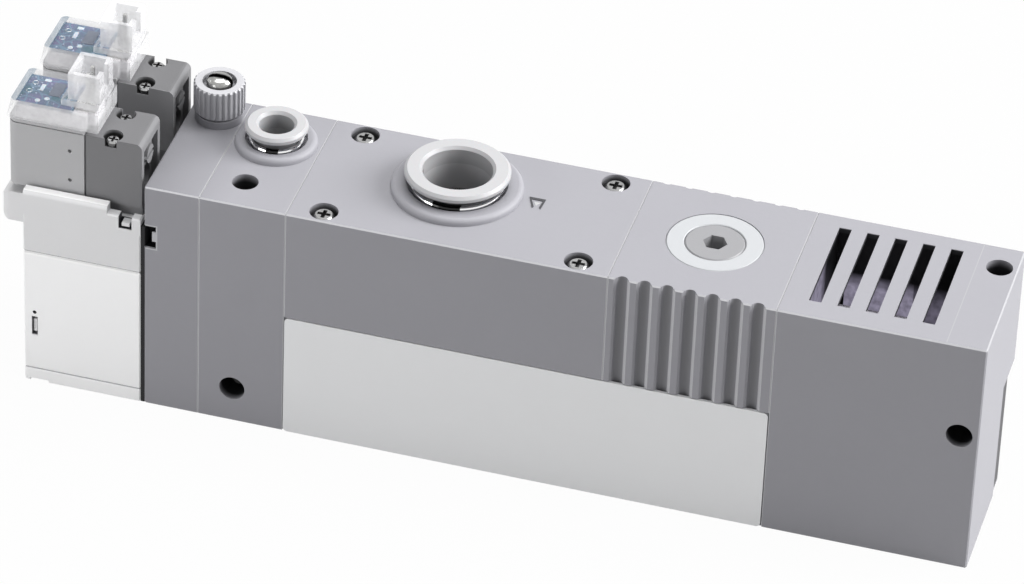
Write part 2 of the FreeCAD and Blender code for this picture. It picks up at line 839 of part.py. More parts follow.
def plug_ring():
    """White sealing ring flush with the top face."""
    profile = [(plug_disc_r + slip, 0), (plug_ring_r, 0), (plug_ring_r, plug_ring_height - 0.2),
               (plug_ring_r - 0.2, plug_ring_height), (plug_disc_r + slip + 0.15, plug_ring_height),
               (plug_disc_r + slip, plug_ring_height - 0.15)]
    return turned(profile, (plug_x, plug_y, body_height - plug_ring_height), "z")


def filter_element():
    """Hollow porous element between the bore's floor and the plug."""
    height = plug_shank_z - element_floor_z
    outer = cylinder(element_r, height, (plug_x, plug_y, element_floor_z), "z")
    return outer.cut(cylinder(element_core_r, height, (plug_x, plug_y, element_floor_z), "z"))


def exhaust_block():
    """Slotted exhaust block with the right mounting holes."""
    solid = stack_block(x_exhaust, exhaust_length)
    inner_x0 = x_exhaust + exhaust_left_wall
    cuts = [box(inner_x0, x_end - exhaust_right_wall, exhaust_wall, body_width - exhaust_wall,
                exhaust_floor, body_height - exhaust_top_wall),
            duct(exhaust_duct_r, x_exhaust, inner_x0, flow_y, flow_z),
            cylinder(mount_hole_r, body_height, (right_hole_x, right_hole_y, 0), "z"),
            cylinder(mount_hole_r, body_width, (right_cross_x, 0, right_cross_z), "y"),
            box(x_end - corner_cut_depth, x_end + 1, body_width - corner_cut_width, body_width + 1, -1,
                corner_cut_height),
            box(x_end - end_strip_depth, x_end + 1, body_width - corner_cut_width - end_strip_width,
                body_width, -1, corner_cut_height)]
    for i in range(slot_count):
        x = x_exhaust + slot_inset + i * slot_pitch
        cuts.append(box(x, x + slot_width, slot_y0, slot_y1, body_height - exhaust_top_wall - 1,
                        body_height + 1))
    cuts += [duct(tie_r + slip, x_exhaust, x_exhaust + tie_grip + slip, y, z) for y, z in tie_places]
    return solid.cut(cuts)


def silencer_element():
    """Porous silencer cylinder that lies on the block's floor."""
    inner_x0 = x_exhaust + exhaust_left_wall
    middle = (inner_x0, body_width / 2, exhaust_floor + silencer_r)
    solid = cylinder(silencer_r, silencer_length, middle, "x")
    return solid.cut(cylinder(silencer_core_r, silencer_core_length, middle, "x"))


def nameplate():
    """Bare plate let into the front of two blocks."""
    x1 = x_exhaust - plate_margin
    y1 = plate_recess
    solid = box(x_ejector + plate_margin, x1, y1 - plate_thickness, y1, plate_margin, plate_height - plate_margin)
    across = [e for e in solid.Edges if abs(e.BoundBox.YLength - plate_thickness) < 1e-6]
    return solid.makeFillet(0.8, across)


def needle_screw():
    """Needle with a domed, slotted head that stands out of the knob."""
    head_z = body_height + knob_boss_height + button_gap + knob_height - knob_recess_depth
    top = head_z + knob_recess_depth + needle_head_rise
    tip_z = release_z - 0.5
    profile = [(0, tip_z), (needle_tip_r, tip_z), (needle_r, tip_z + needle_taper), (needle_r, head_z),
               (needle_head_r, head_z), (needle_head_r, top - 1.2), (0.93 * needle_head_r, top - 0.7),
               (0.75 * needle_head_r, top - 0.3), (0.45 * needle_head_r, top - 0.06), (0, top)]
    solid = turned(profile, (knob_x, knob_y, 0), "z")
    arm = needle_slot_width / 2
    return solid.cut(box(knob_x - needle_head_r, knob_x + needle_head_r, knob_y - arm, knob_y + arm,
                         top - needle_slot_depth, top))


def adjusting_knob():
    """Fluted knob clamped on the needle."""
    z0 = body_height + knob_boss_height + button_gap
    profile = [(needle_r + slip, 0), (knob_r - 0.4, 0), (knob_r, 0.4), (knob_r, knob_height - 0.3),
               (knob_r - 0.3, knob_height), (knob_recess_r, knob_height),
               (knob_recess_r, knob_height - knob_recess_depth), (needle_r + slip, knob_height - knob_recess_depth)]
    solid = turned(profile, (knob_x, knob_y, z0), "z")
    flutes = []
    for i in range(knob_flutes):
        angle = 2 * math.pi * i / knob_flutes
        flutes.append(cylinder(knob_flute_r, knob_height, (knob_x + knob_r * math.cos(angle),
                                                           knob_y + knob_r * math.sin(angle), z0), "z"))
    return solid.cut(flutes)


def needle_seal():
    """Rubber ring round the needle."""
    profile = [(needle_r + 0.03, 0), (needle_seal_r, 0), (needle_seal_r, needle_seal_height),
               (needle_r + 0.03, needle_seal_height)]
    return turned(profile, (knob_x, knob_y, needle_seal_z), "z")


def valve_gasket():
    """Black gasket between the valve unit and the adapter block."""
    sheet = box(valve_right_x, 0, 0.2, body_width - 0.2, 0.1, seat_z)
    holes = [duct(r, valve_right_x, 0, y, z) for r, y, z in (release_duct, pressure_duct)]
    holes.append(duct(supply_duct_r - 0.8, valve_right_x, 0, pilot_middles[0], flow_z))
    holes += [duct(valve_screw_r + screw_gap, valve_right_x, 0, valve_screw_y, z)
              for z in (valve_screw_low_z, valve_screw_high_z)]
    return sheet.cut(holes)


def stack_screw_xs():
    """Both vertical screws of the valve unit."""
    return (valve_left_x + stack_screw_inset, valve_right_x - stack_screw_inset)


def valve_base_plate():
    """Plate that closes the spool bores from below."""
    solid = broken_box(valve_left_x, valve_right_x, 0, body_width, 0, valve_base_height, valve_break)
    cuts = [cylinder(stack_screw_r + slip, valve_base_height, (x, stack_screw_y, stack_screw_tip - slip), "z")
            for x in stack_screw_xs()]
    x0 = valve_left_x + base_notch_inset
    cuts.append(box(x0, x0 + base_notch_length, -1, base_notch_depth, -1, base_notch_height))
    return solid.cut(cuts)


def valve_housing():
    """Housing with a bore for each spool."""
    solid = broken_box(valve_left_x, valve_right_x, 0, body_width, housing_z, head_z, valve_break)
    cuts = [cylinder(spool_r + slip, valve_housing_height, (spool_x, y, housing_z), "z") for y in pilot_middles]
    cuts += [cylinder(stack_screw_r + screw_gap, valve_housing_height, (x, stack_screw_y, housing_z), "z")
             for x in stack_screw_xs()]
    for z in (valve_screw_low_z, valve_screw_high_z):
        cuts.append(duct(valve_screw_r + screw_gap, valve_left_x, valve_right_x, valve_screw_y, z))
        cuts.append(duct(valve_screw_head_r + screw_gap, valve_left_x, valve_left_x + valve_screw_head_length,
                         valve_screw_y, z))
    cuts.append(duct(supply_duct_r - 0.8, spool_x, valve_right_x, pilot_middles[0], flow_z))
    window_x = valve_left_x + side_window_inset
    window_top = side_window_z + side_window_height
    cuts += [box(window_x, window_x + side_window_width, -1, side_window_depth, side_window_z, window_top),
             cylinder(side_dot_r, side_window_depth,
                      (window_x + side_window_width / 2, 0, window_top + side_dot_rise), "y")]
    return solid.cut(cuts)


def valve_head():
    """Head that carries both pilot valves behind a front lip."""
    solid = broken_box(valve_left_x, valve_right_x, 0, body_width, head_z, seat_z, valve_break)
    lip_x1 = valve_right_x - lip_right_gap
    lip = box(valve_left_x, lip_x1, 0, lip_depth, seat_z - 2, seat_z + lip_height)
    front = [e for e in lip.Edges
             if abs(e.BoundBox.ZMin - seat_z - lip_height) < 1e-6 and e.BoundBox.YMax < 1e-6]
    rim = box(lip_x1 - 1, valve_right_x, 0, lip_depth, seat_z - 2, seat_z + rim_height)
    top = [e for e in rim.Edges if abs(e.BoundBox.ZMin - seat_z - rim_height) < 1e-6]
    cap = box(valve_left_x - cap_length, valve_left_x + 1, pilot_front_y,
              pilot_middles[1] + pilot_width / 2, seat_z + cap_rise - cap_height, seat_z + cap_rise)
    left = [e for e in cap.Edges if e.BoundBox.XMax < valve_left_x - cap_length + 1e-6]
    solid = solid.fuse([lip.makeFillet(lip_bevel, front), rim.makeChamfer(valve_break, top),
                        cap.makeFillet(cap_round, left)])
    seat = seat_z - stack_screw_head_length
    cuts = [cylinder(stack_screw_r + screw_gap, seat_z - head_z, (x, stack_screw_y, head_z), "z")
            for x in stack_screw_xs()]
    cuts += [cylinder(stack_screw_head_r + screw_gap, stack_screw_head_length, (x, stack_screw_y, seat), "z")
             for x in stack_screw_xs()]
    for r, y, z in (release_duct, pressure_duct):
        cuts.append(duct(r, spool_x, valve_right_x, y, z))
        cuts.append(cylinder(r, z - head_z, (spool_x, y, head_z), "z"))
    for x, y in pilot_screw_places():
        cuts.append(cylinder(pilot_screw_r + slip, pilot_screw_grip, (x, y, seat_z - pilot_screw_grip), "z"))
    cuts.append(latch_pocket())
    return solid.cut(cuts)


def latch_pocket():
    """Pocket in the head's rim, with a tab left standing in it."""
    x1 = valve_right_x - latch_pocket_gap
    x0 = x1 - latch_pocket_width
    z0 = seat_z - latch_pocket_height
    tab_x0 = (x0 + x1 - latch_tab_width) / 2
    tab = box(tab_x0, tab_x0 + latch_tab_width, latch_tab_gap, lip_depth, z0 + latch_tab_gap,
              seat_z + rim_height - latch_tab_drop)
    return box(x0, x1, -1, lip_depth, z0, seat_z + rim_height + 1).cut(tab)


def stack_screws():
    """Two vertical screws that hold the valve unit's plates together."""
    screws = []
    seat = seat_z - stack_screw_head_length
    for x in stack_screw_xs():
        shank = cylinder(stack_screw_r, seat - stack_screw_tip, (x, stack_screw_y, stack_screw_tip), "z")
        head = cylinder(stack_screw_head_r, stack_screw_head_length, (x, stack_screw_y, seat), "z")
        socket = hexagon(stack_screw_socket, stack_screw_head_length / 2,
                         (x, stack_screw_y, seat_z - stack_screw_head_length / 2), "z")
        screws.append(shank.fuse(head).cut(socket))
    return Part.makeCompound(screws)


def valve_screws():
    """Two screws that hold the valve unit on the adapter block."""
    screws = []
    seat = valve_left_x + valve_screw_head_length
    for z in (valve_screw_low_z, valve_screw_high_z):
        head = duct(valve_screw_head_r, valve_left_x, seat, valve_screw_y, z)
        shank = duct(valve_screw_r, seat, valve_screw_reach - 0.3, valve_screw_y, z)
        screws.append(head.fuse(shank).cut(
            hexagon(valve_screw_socket, 1.0, (valve_left_x, valve_screw_y, z), "x")))
    return Part.makeCompound(screws)


def spool(y):
    """Spool with three lands, pressed up by its spring."""
    bottom = head_z - spool_gap - spool_length
    gap = (spool_length - 3 * spool_land) / 2
    profile = [(0, 0)]
    h = 0.0
    for i in range(3):
        profile += [(spool_r, h), (spool_r, h + spool_land)]
        h += spool_land
        if i < 2:
            profile += [(spool_waist_r, h), (spool_waist_r, h + gap)]
            h += gap
    profile.append((0, h))
    return turned(profile, (spool_x, y, bottom), "z")


def spool_spring(y):
    """Spring under a spool."""
    height = head_z - spool_gap - spool_length - housing_z
    return spring(spool_spring_r, spring_wire, spool_spring_turns, height, (spool_x, y, housing_z), "z")


def pilot_screw_places():
    """Places of the four pilot screws."""
    x = pilot_right_x - pilot_screw_inset
    return [(x, y + s * pilot_screw_spread) for y in pilot_middles for s in (-1, 1)]


def pilot_body(y):
    """Dark pilot valve body with a neck towards the coil, screw notches and an end pocket."""
    half = pilot_width / 2
    solid = box(pilot_joint_x + pilot_neck, pilot_right_x, y - half, y + half, seat_z, pilot_top_z)
    corner = [e for e in solid.Edges
              if e.BoundBox.XMin > pilot_right_x - 1e-6 and e.BoundBox.ZMin > pilot_top_z - 1e-6]
    inner = half - pilot_neck
    neck = box(pilot_joint_x, pilot_joint_x + 1, y - inner, y + inner, seat_z, pilot_top_z - pilot_neck)
    solid = solid.makeFillet(pilot_chamfer, corner).fuse(neck)
    cuts = [box(pilot_joint_x, pilot_right_x, y0, y0 + 1, seat_z, seat_z + coil_lift)
            for y0 in (y - half + pilot_foot_depth - 1, y + half - pilot_foot_depth)]
    floor = pilot_top_z - pilot_screw_sink - pilot_screw_head_height
    for x, sy in pilot_screw_places():
        if abs(sy - y) < half:
            cuts.append(cylinder(pilot_screw_notch_r, pilot_top_z - floor + 1, (x, sy, floor), "z"))
            cuts.append(cylinder(pilot_screw_r + slip, floor - seat_z, (x, sy, seat_z), "z"))
    pocket_half = half - end_pocket_margin
    cuts.append(box(pilot_right_x - end_pocket_depth, pilot_right_x + 1, y - pocket_half, y + pocket_half,
                    seat_z + end_pocket_foot, pilot_top_z - end_pocket_head))
    reach = end_pocket_depth + override_length + override_travel
    cuts.append(duct(override_r + slip, pilot_right_x - reach, pilot_right_x, y, override_z))
    cuts.append(duct(pressure_port_r, pilot_right_x - end_pocket_depth - pressure_port_depth, pilot_right_x,
                     y, pressure_port_z))
    return solid.cut(cuts)


def coil_layer(y, inset, z0, z1):
    """One layer of the coil housing, with its left corners rounded."""
    half = pilot_width / 2 - inset
    x0 = coil_left_x + inset
    layer = box(x0, pilot_joint_x, y - half, y + half, z0, z1)
    left = [e for e in layer.Edges if is_vertical(e) and e.BoundBox.XMax < x0 + 1e-6]
    return layer.makeFillet(coil_round - inset, left)


def coil_housing(y):
    """Coil housing: body, groove, top plate, the lip under the cover and the board's carrier."""
    groove_z = pilot_top_z - coil_groove
    lip_inset = cover_wall - cover_overhang + slip + cover_slant * cover_lip / cover_height
    half = board_half
    solid = coil_layer(y, 0, coil_bottom_z, groove_z).fuse([
        coil_layer(y, coil_groove_depth, groove_z, pilot_top_z),
        coil_layer(y, 0, pilot_top_z, coil_top_z),
        coil_layer(y, lip_inset, coil_top_z, cover_rim_z + cover_lip),
        box(board_x0, pilot_joint_x, y - half, y + half, coil_top_z, board_z),
        box(pilot_joint_x, header_x1, y - header_width / 2, y + header_width / 2, coil_top_z, board_z)])
    bore = duct(coil_r + slip, coil_left_x + coil_wall, pilot_joint_x, y, coil_middle_z)
    side = y - pilot_width / 2
    dots = [cylinder(coil_dot_r, coil_dot_depth, (pilot_joint_x - coil_dot_inset, side, z), "y")
            for z in (coil_bottom_z + coil_dot_low, pilot_top_z - coil_dot_high)]
    return solid.cut([bore] + dots)


def wound_coil(y):
    """Wound coil on its bobbin, with the fixed core behind the armature."""
    length = pilot_joint_x - coil_left_x - coil_wall
    core = length - armature_length - armature_spring_length - slip
    inner = armature_r + slip
    profile = [(0, 0), (coil_r, 0), (coil_r, coil_flange), (coil_winding_r, coil_flange),
               (coil_winding_r, length - coil_flange), (coil_r, length - coil_flange), (coil_r, length),
               (inner, length), (inner, core), (0, core)]
    return turned(profile, (coil_left_x + coil_wall, y, coil_middle_z), "x")


def armature(y):
    """Sliding armature with its sealing nose towards the pilot body."""
    profile = [(0, 0), (armature_r, 0), (armature_r, armature_length - 0.6),
               (armature_nose_r, armature_length - 0.6), (armature_nose_r, armature_length), (0, armature_length)]
    return turned(profile, (pilot_joint_x - slip - armature_length, y, coil_middle_z), "x")


def armature_spring(y):
    """Spring between the core and the armature."""
    x = pilot_joint_x - slip - armature_length - armature_spring_length
    return spring(armature_spring_r, armature_spring_wire, armature_spring_turns, armature_spring_length,
                  (x, y, coil_middle_z), "x")


def override_button(y):
    """Manual override button with a driver slot."""
    x0 = pilot_right_x - end_pocket_depth - override_length + 0.9
    solid = duct(override_r, x0, x0 + override_length, y, override_z)
    end = x0 + override_length
    return solid.cut(box(end - 0.5, end, y - override_r, y + override_r, override_z - 0.3, override_z + 0.3))


def circuit_board(y):
    """Blue circuit board on its carrier, close under the cover's top."""
    return box(board_x0, header_x0 - board_header_gap, y - board_half, y + board_half,
               board_z, board_z + board_thickness)


def pin_header(y):
    """Header on the carrier with two contact pins."""
    solid = box(header_x0, header_x1, y - header_width / 2, y + header_width / 2, board_z, cover_top_z)
    x = (header_x0 + header_x1) / 2
    for s in (-1, 1):
        py = y + s * pin_pitch / 2
        solid = solid.fuse(box(x - pin_side / 2, x + pin_side / 2, py - pin_side / 2, py + pin_side / 2,
                               board_z, tower_top_z - pin_drop))
    return solid


def slanted_box(x0, x1, y0, y1, z0, z1, slant, corner):
    """Box whose left wall leans in towards the top, with its two left corners rounded."""
    points = [Vector(x0, y0, z0), Vector(x0 + slant, y0, z1), Vector(x1, y0, z1), Vector(x1, y0, z0)]
    solid = Part.Face(Part.makePolygon(points + points[:1])).extrude(Vector(0, y1 - y0, 0))
    left = [e for e in solid.Edges if e.BoundBox.XMax < x0 + slant + 1e-6 and e.BoundBox.YLength < 1e-6]
    return solid.makeFillet(corner, left)


def pilot_cover(y):
    """Clear cover over the board with an open, stepped connector tower."""
    half = pilot_width / 2 + cover_overhang
    wall = cover_wall
    x0 = coil_left_x - cover_overhang
    x1 = pilot_joint_x + cover_reach
    solid = slanted_box(x0, x1, y - half, y + half, cover_rim_z, cover_top_z, cover_slant, cover_round)
    step_x0 = tower_x1 - tower_step_length
    step_top = cover_top_z + tower_step_height
    step = box(step_x0, tower_x1, y - tower_step_width / 2, y + tower_step_width / 2,
               cover_top_z - cover_top_wall, step_top)
    tower = box(tower_x0, tower_x1, y - tower_width / 2, y + tower_width / 2,
                cover_top_z - cover_top_wall, tower_top_z)
    solid = solid.fuse([step, tower])
    share = (cover_height - cover_top_wall) / cover_height
    inside = slanted_box(x0 + wall, x1 - wall, y - half + wall, y + half - wall, cover_rim_z,
                         cover_top_z - cover_top_wall, share * cover_slant, cover_round / 2)
    under_step = box(step_x0 + wall, tower_x1 - wall, y - tower_step_width / 2 + wall,
                     y + tower_step_width / 2 - wall, cover_top_z - 2 * cover_top_wall,
                     step_top - cover_top_wall)
    socket = box(tower_x0 + tower_wall, tower_x1 - tower_wall, y - tower_width / 2 + tower_wall,
                 y + tower_width / 2 - tower_wall, cover_top_z, tower_top_z + 1)
    latch = box(tower_x1 - 2 * tower_wall, tower_x1 + 1, y - tower_slot_width / 2, y + tower_slot_width / 2,
                cover_top_z + tower_slot_lift, tower_top_z + 1)
    return solid.cut([inside, under_step, socket, latch])


def pilot_screws():
    """Four small cross-head screws of the pilot valves."""
    screws = []
    top = pilot_top_z - pilot_screw_sink
    seat = top - pilot_screw_head_height
    tip = seat_z - pilot_screw_grip + 0.3
    for x, y in pilot_screw_places():
        profile = [(0, tip), (pilot_screw_r, tip), (pilot_screw_r, seat), (pilot_screw_head_r, seat),
                   (pilot_screw_head_r, top - 0.3), (pilot_screw_head_r - 0.3, top), (0, top)]
        screws.append(turned(profile, (x, y, 0), "z").cut(cross_recess(
            x, y, top, pilot_recess_span, pilot_recess_width, pilot_screw_head_height / 2)))
    return Part.makeCompound(screws)


def pieces():
    """Every piece by its node name."""
    parts = {
        "adapter_block": adapter_block(),
        "port_block": port_block(),
        "ejector_block": ejector_block(),
        "bottom_cover": bottom_cover(),
        "bottom_gasket": bottom_gasket(),
        "filter_case": filter_case(),
        "exhaust_block": exhaust_block(),
        "port_gasket": face_gasket(x_port, [supply_duct, release_duct, pressure_duct]),
        "ejector_gasket": face_gasket(x_ejector, [supply_duct, release_duct]),
        "tie_screws": tie_screws(),
        "cover_screws": cover_screws(),
        "nameplate": nameplate(),
        "ejector_nozzle": ejector_nozzle(),
        "first_diffuser": first_diffuser(),
        "second_diffuser": second_diffuser(),
        "check_valve": check_valve(),
        "filter_plug": filter_plug(),
        "plug_ring": plug_ring(),
        "filter_element": filter_element(),
        "silencer_element": silencer_element(),
        "adjusting_knob": adjusting_knob(),
        "needle_screw": needle_screw(),
        "needle_seal": needle_seal(),
        "valve_gasket": valve_gasket(),
        "valve_base_plate": valve_base_plate(),
        "valve_housing": valve_housing(),
        "valve_head": valve_head(),
        "stack_screws": stack_screws(),
        "valve_screws": valve_screws(),
        "pilot_screws": pilot_screws(),
    }
    for name, fitting in (("vacuum", vacuum_fitting), ("supply", supply_fitting)):
        parts[name + "_release_ring"] = fitting.release_ring()
        parts[name + "_guide_ring"] = fitting.guide_ring()
        parts[name + "_collet"] = fitting.collet()
        parts[name + "_tube_seal"] = fitting.tube_seal()
    for name, y in zip(("supply", "release"), pilot_middles):
        parts[name + "_spool"] = spool(y)
        parts[name + "_spring"] = spool_spring(y)
        parts[name + "_pilot_body"] = pilot_body(y)
        parts[name + "_coil_housing"] = coil_housing(y)
        parts[name + "_coil"] = wound_coil(y)
        parts[name + "_armature"] = armature(y)
        parts[name + "_armature_spring"] = armature_spring(y)
        parts[name + "_override_button"] = override_button(y)
        parts[name + "_circuit_board"] = circuit_board(y)
        parts[name + "_pin_header"] = pin_header(y)
        parts[name + "_pilot_cover"] = pilot_cover(y)
    return parts


def export_all():
    """Move every piece to the row's origin and write its STEP file."""
    os.makedirs("parts", exist_ok=True)
    for name, shape in pieces().items():
        shape.translate(Vector(-x_end / 2, -body_width / 2, 0))
        shape.exportStep("parts/" + name + ".step")


export_all()
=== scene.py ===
"""Vacuum ejector with two pilot valves: finishes, small surface parts, studio and camera around its frame."""

import logging
import math
from contextlib import contextmanager
from dataclasses import dataclass
from enum import Enum
from typing import Callable, Iterator, Union

import bmesh
import bpy
from mathutils import Matrix, Vector


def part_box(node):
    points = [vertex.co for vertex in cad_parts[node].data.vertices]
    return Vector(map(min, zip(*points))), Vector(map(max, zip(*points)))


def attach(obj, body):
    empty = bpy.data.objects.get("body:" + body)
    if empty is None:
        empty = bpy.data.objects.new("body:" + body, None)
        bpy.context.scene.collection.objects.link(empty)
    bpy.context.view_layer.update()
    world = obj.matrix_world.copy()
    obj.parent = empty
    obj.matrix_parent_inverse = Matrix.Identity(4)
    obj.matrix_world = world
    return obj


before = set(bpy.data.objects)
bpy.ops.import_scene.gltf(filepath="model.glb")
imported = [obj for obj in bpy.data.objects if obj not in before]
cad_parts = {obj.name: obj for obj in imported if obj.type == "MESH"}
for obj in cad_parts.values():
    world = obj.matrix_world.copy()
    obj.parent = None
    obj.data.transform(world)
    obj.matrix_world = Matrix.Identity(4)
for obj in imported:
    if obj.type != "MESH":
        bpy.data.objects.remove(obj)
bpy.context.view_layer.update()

log = logging.getLogger("ejector")

MM = 0.001
Colour = tuple[float, float, float]
Place = tuple[float, float, float]
Span = tuple[float, float]
Value = Union["Signal", int, float]
Tone = Union["Signal", Colour]

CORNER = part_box("adapter_block")[0]


def plan_box(node: str) -> tuple[Vector, Vector]:
    """Box of a node, in millimetres from the stack's front left corner."""
    low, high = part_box(node)
    return (low - CORNER) / MM, (high - CORNER) / MM


def scaled(colour: Colour, factor: float) -> Colour:
    """Colour times a factor, at most white."""
    return tuple(min(part * factor, 1.0) for part in colour)


@dataclass(frozen=True)
class Patch:
    """Region with its own colour, mostly painted shade or painted highlight, as corners in millimetres from
    the stack's front left corner.
    """

    low: Place
    high: Place
    colour: Colour
    mouth: str = ""
    fade_mm: float = 1.0


PLAN_LOW: Span = (-40.0, -10.0)
PLAN_HIGH: Span = (160.0, 40.0)


def everywhere(bottom: float, top: float, colour: Colour) -> Patch:
    """Patch over the whole plan between two heights, in millimetres."""
    return Patch((*PLAN_LOW, bottom), (*PLAN_HIGH, top), colour)


# Shader tools


def maths(operation: str, swapped: bool = False) -> Callable[["Signal", Value], "Signal"]:
    """Makes a method of Signal that adds one Math node.

    Args:
        operation: Blender's name of the operation.
        swapped: True where the other operand comes first.

    Returns:
        The method, which gives the result of the node.
    """

    def method(self: "Signal", other: Value = 0.0) -> "Signal":
        """Result of the operation."""
        first, second = (other, self) if swapped else (self, other)
        return self.graph.add("ShaderNodeMath", {"operation": operation}, {0: first, 1: second})

    return method


class Signal:
    """Output of one shader node, which takes part in Python arithmetic."""

    __add__, __radd__ = maths("ADD"), maths("ADD", swapped=True)
    __sub__, __rsub__ = maths("SUBTRACT"), maths("SUBTRACT", swapped=True)
    __mul__, __rmul__ = maths("MULTIPLY"), maths("MULTIPLY", swapped=True)
    __truediv__, __rtruediv__ = maths("DIVIDE"), maths("DIVIDE", swapped=True)
    __pow__, __rpow__ = maths("POWER"), maths("POWER", swapped=True)
    __gt__, __lt__ = maths("GREATER_THAN"), maths("LESS_THAN")
    at_least, at_most, size = maths("MAXIMUM"), maths("MINIMUM"), maths("ABSOLUTE")

    def __init__(self, graph: "Graph", socket: bpy.types.NodeSocket | None) -> None:
        """Keeps the socket and the graph it belongs to."""
        self.graph = graph
        self.socket = socket


class Graph:
    """Node tree that is filled through one method."""

    def __init__(self, tree: bpy.types.NodeTree) -> None:
        """Empties the tree and keeps it."""
        self.tree = tree
        self.axes: dict[str, Signal] = {}
        tree.nodes.clear()

    def add(self, kind: str, settings: dict | None = None, inputs: dict | None = None,
            output: int | str = 0) -> Signal:
        """Adds a node, sets it, and fills its sockets.

        Args:
            kind: the node's type.
            settings: its properties, set first.
            inputs: numbers, colours or signals by socket name or index.
            output: name or index of the output that is wanted.

        Returns:
            The wanted output.
        """
        node = self.tree.nodes.new(kind)
        for key, value in (settings or {}).items():
            setattr(node, key, value)
        for key, value in (inputs or {}).items():
            if isinstance(value, Signal):
                self.tree.links.new(value.socket, node.inputs[key])
            else:
                node.inputs[key].default_value = value
        return Signal(self, node.outputs[output] if node.outputs else None)

    def place(self) -> Signal:
        """Object coordinates, in metres."""
        return self.add("ShaderNodeTexCoord", output="Object")

    def axis(self, name: str) -> Signal:
        """One of the object coordinates, X, Y or Z, in metres."""
        if name not in self.axes:
            self.axes[name] = self.add("ShaderNodeSeparateXYZ", inputs={0: self.place()}, output=name)
        return self.axes[name]

    def mask(self, patch: Patch) -> Signal:
        """Mask of a patch.

        Args:
            patch: the region; its mouth, such as "-Y", names the side from which the mask sets in.

        Returns:
            One inside the region, zero outside it.
        """
        shares = []
        for name, low, high, corner in zip("XYZ", patch.low, patch.high, CORNER):
            middle = corner + (low + high) / 2.0 * MM
            near = {0: self.axis(name), 1: middle, 2: (high - low) / 2.0 * MM}
            shares.append(self.add("ShaderNodeMath", {"operation": "COMPARE"}, near))
        if patch.mouth:
            side, name = patch.mouth
            index = "XYZ".index(name)
            edge = CORNER[index] + (patch.high if side == "+" else patch.low)[index] * MM
            shares.append(((self.axis(name) - edge).size() / (patch.fade_mm * MM)).at_most(1.0))
        result = shares[0]
        for share in shares[1:]:
            result = result * share
        return result

    def patched(self, colour: Tone, patches: tuple[Patch, ...], share: Signal | None = None) -> Tone:
        """Lays patches over a colour.

        Args:
            colour: colour of the rest.
            patches: the patches, each over those before it.
            share: share of a patch that shows, or None for all of it.

        Returns:
            The patched colour.
        """
        for patch in patches:
            mask = self.mask(patch)
            colour = self.blend(mask if share is None else mask * share, colour, patch.colour)
        return colour

    def noise(self, size_mm: float, detail: float = 2.0, stretch: Place = (1.0, 1.0, 1.0)) -> Signal:
        """Noise from 0 to 1, of about a size; stretch gives the coordinates factors, for grain one way."""
        vector = self.add("ShaderNodeMapping", inputs={"Vector": self.place(), "Scale": stretch})
        inputs = {"Vector": vector, "Scale": 1.0 / (size_mm * MM), "Detail": detail}
        return self.add("ShaderNodeTexNoise", inputs=inputs)

    def cells(self, size_mm: float, inputs: dict, settings: dict | None = None) -> Signal:
        """Distance from the middle of each cell of about a size, or what the settings say."""
        inputs = {"Vector": self.place(), "Scale": 1.0 / (size_mm * MM), **inputs}
        return self.add("ShaderNodeTexVoronoi", settings, inputs, output="Distance")

    def blend(self, factor: Value, first: Tone, second: Tone) -> Signal:
        """Mix of two colours, with the factor as the share of the second."""
        low, high = (value if isinstance(value, Signal) else (*value, 1.0) for value in (first, second))
        return self.add("ShaderNodeMix", {"data_type": "RGBA"}, {0: factor, 6: low, 7: high}, output=2)

    def bump(self, height: Signal, depth_mm: float) -> Signal:
        """Normals of a height pattern from 0 to 1, whose full depth is given."""
        inputs = {"Strength": 1.0, "Distance": depth_mm * MM, "Height": height}
        return self.add("ShaderNodeBump", inputs=inputs)

    def seen(self) -> Signal:
        """One for rays from the camera, also those by way of a mirror or a clear part, and zero for light."""
        kinds = ("Is Camera Ray", "Is Glossy Ray", "Is Transmission Ray")
        camera, glossy, through = (self.add("ShaderNodeLightPath", output=kind) for kind in kinds)
        return camera.at_least(glossy).at_least(through)


def new_material(name: str) -> tuple[bpy.types.Material, Graph]:
    """Makes an empty material.

    Args:
        name: the material's name.

    Returns:
        The material and its node graph.
    """
    material = bpy.data.materials.new(name)
    material.use_nodes = True
    return material, Graph(material.node_tree)


# Finishes


@dataclass(frozen=True)
class Surface:
    """What all finishes have: a name, a main colour and a principled shader."""

    name: str
    colour: Colour

    def inputs(self, graph: Graph) -> dict:
        """Inputs of the shader, by socket name."""
        raise NotImplementedError

    def make(self) -> bpy.types.Material:
        """Builds the material."""
        material, graph = new_material(self.name)
        shader = graph.add("ShaderNodeBsdfPrincipled", inputs=self.inputs(graph))
        graph.add("ShaderNodeOutputMaterial", inputs={"Surface": shader})
        return material


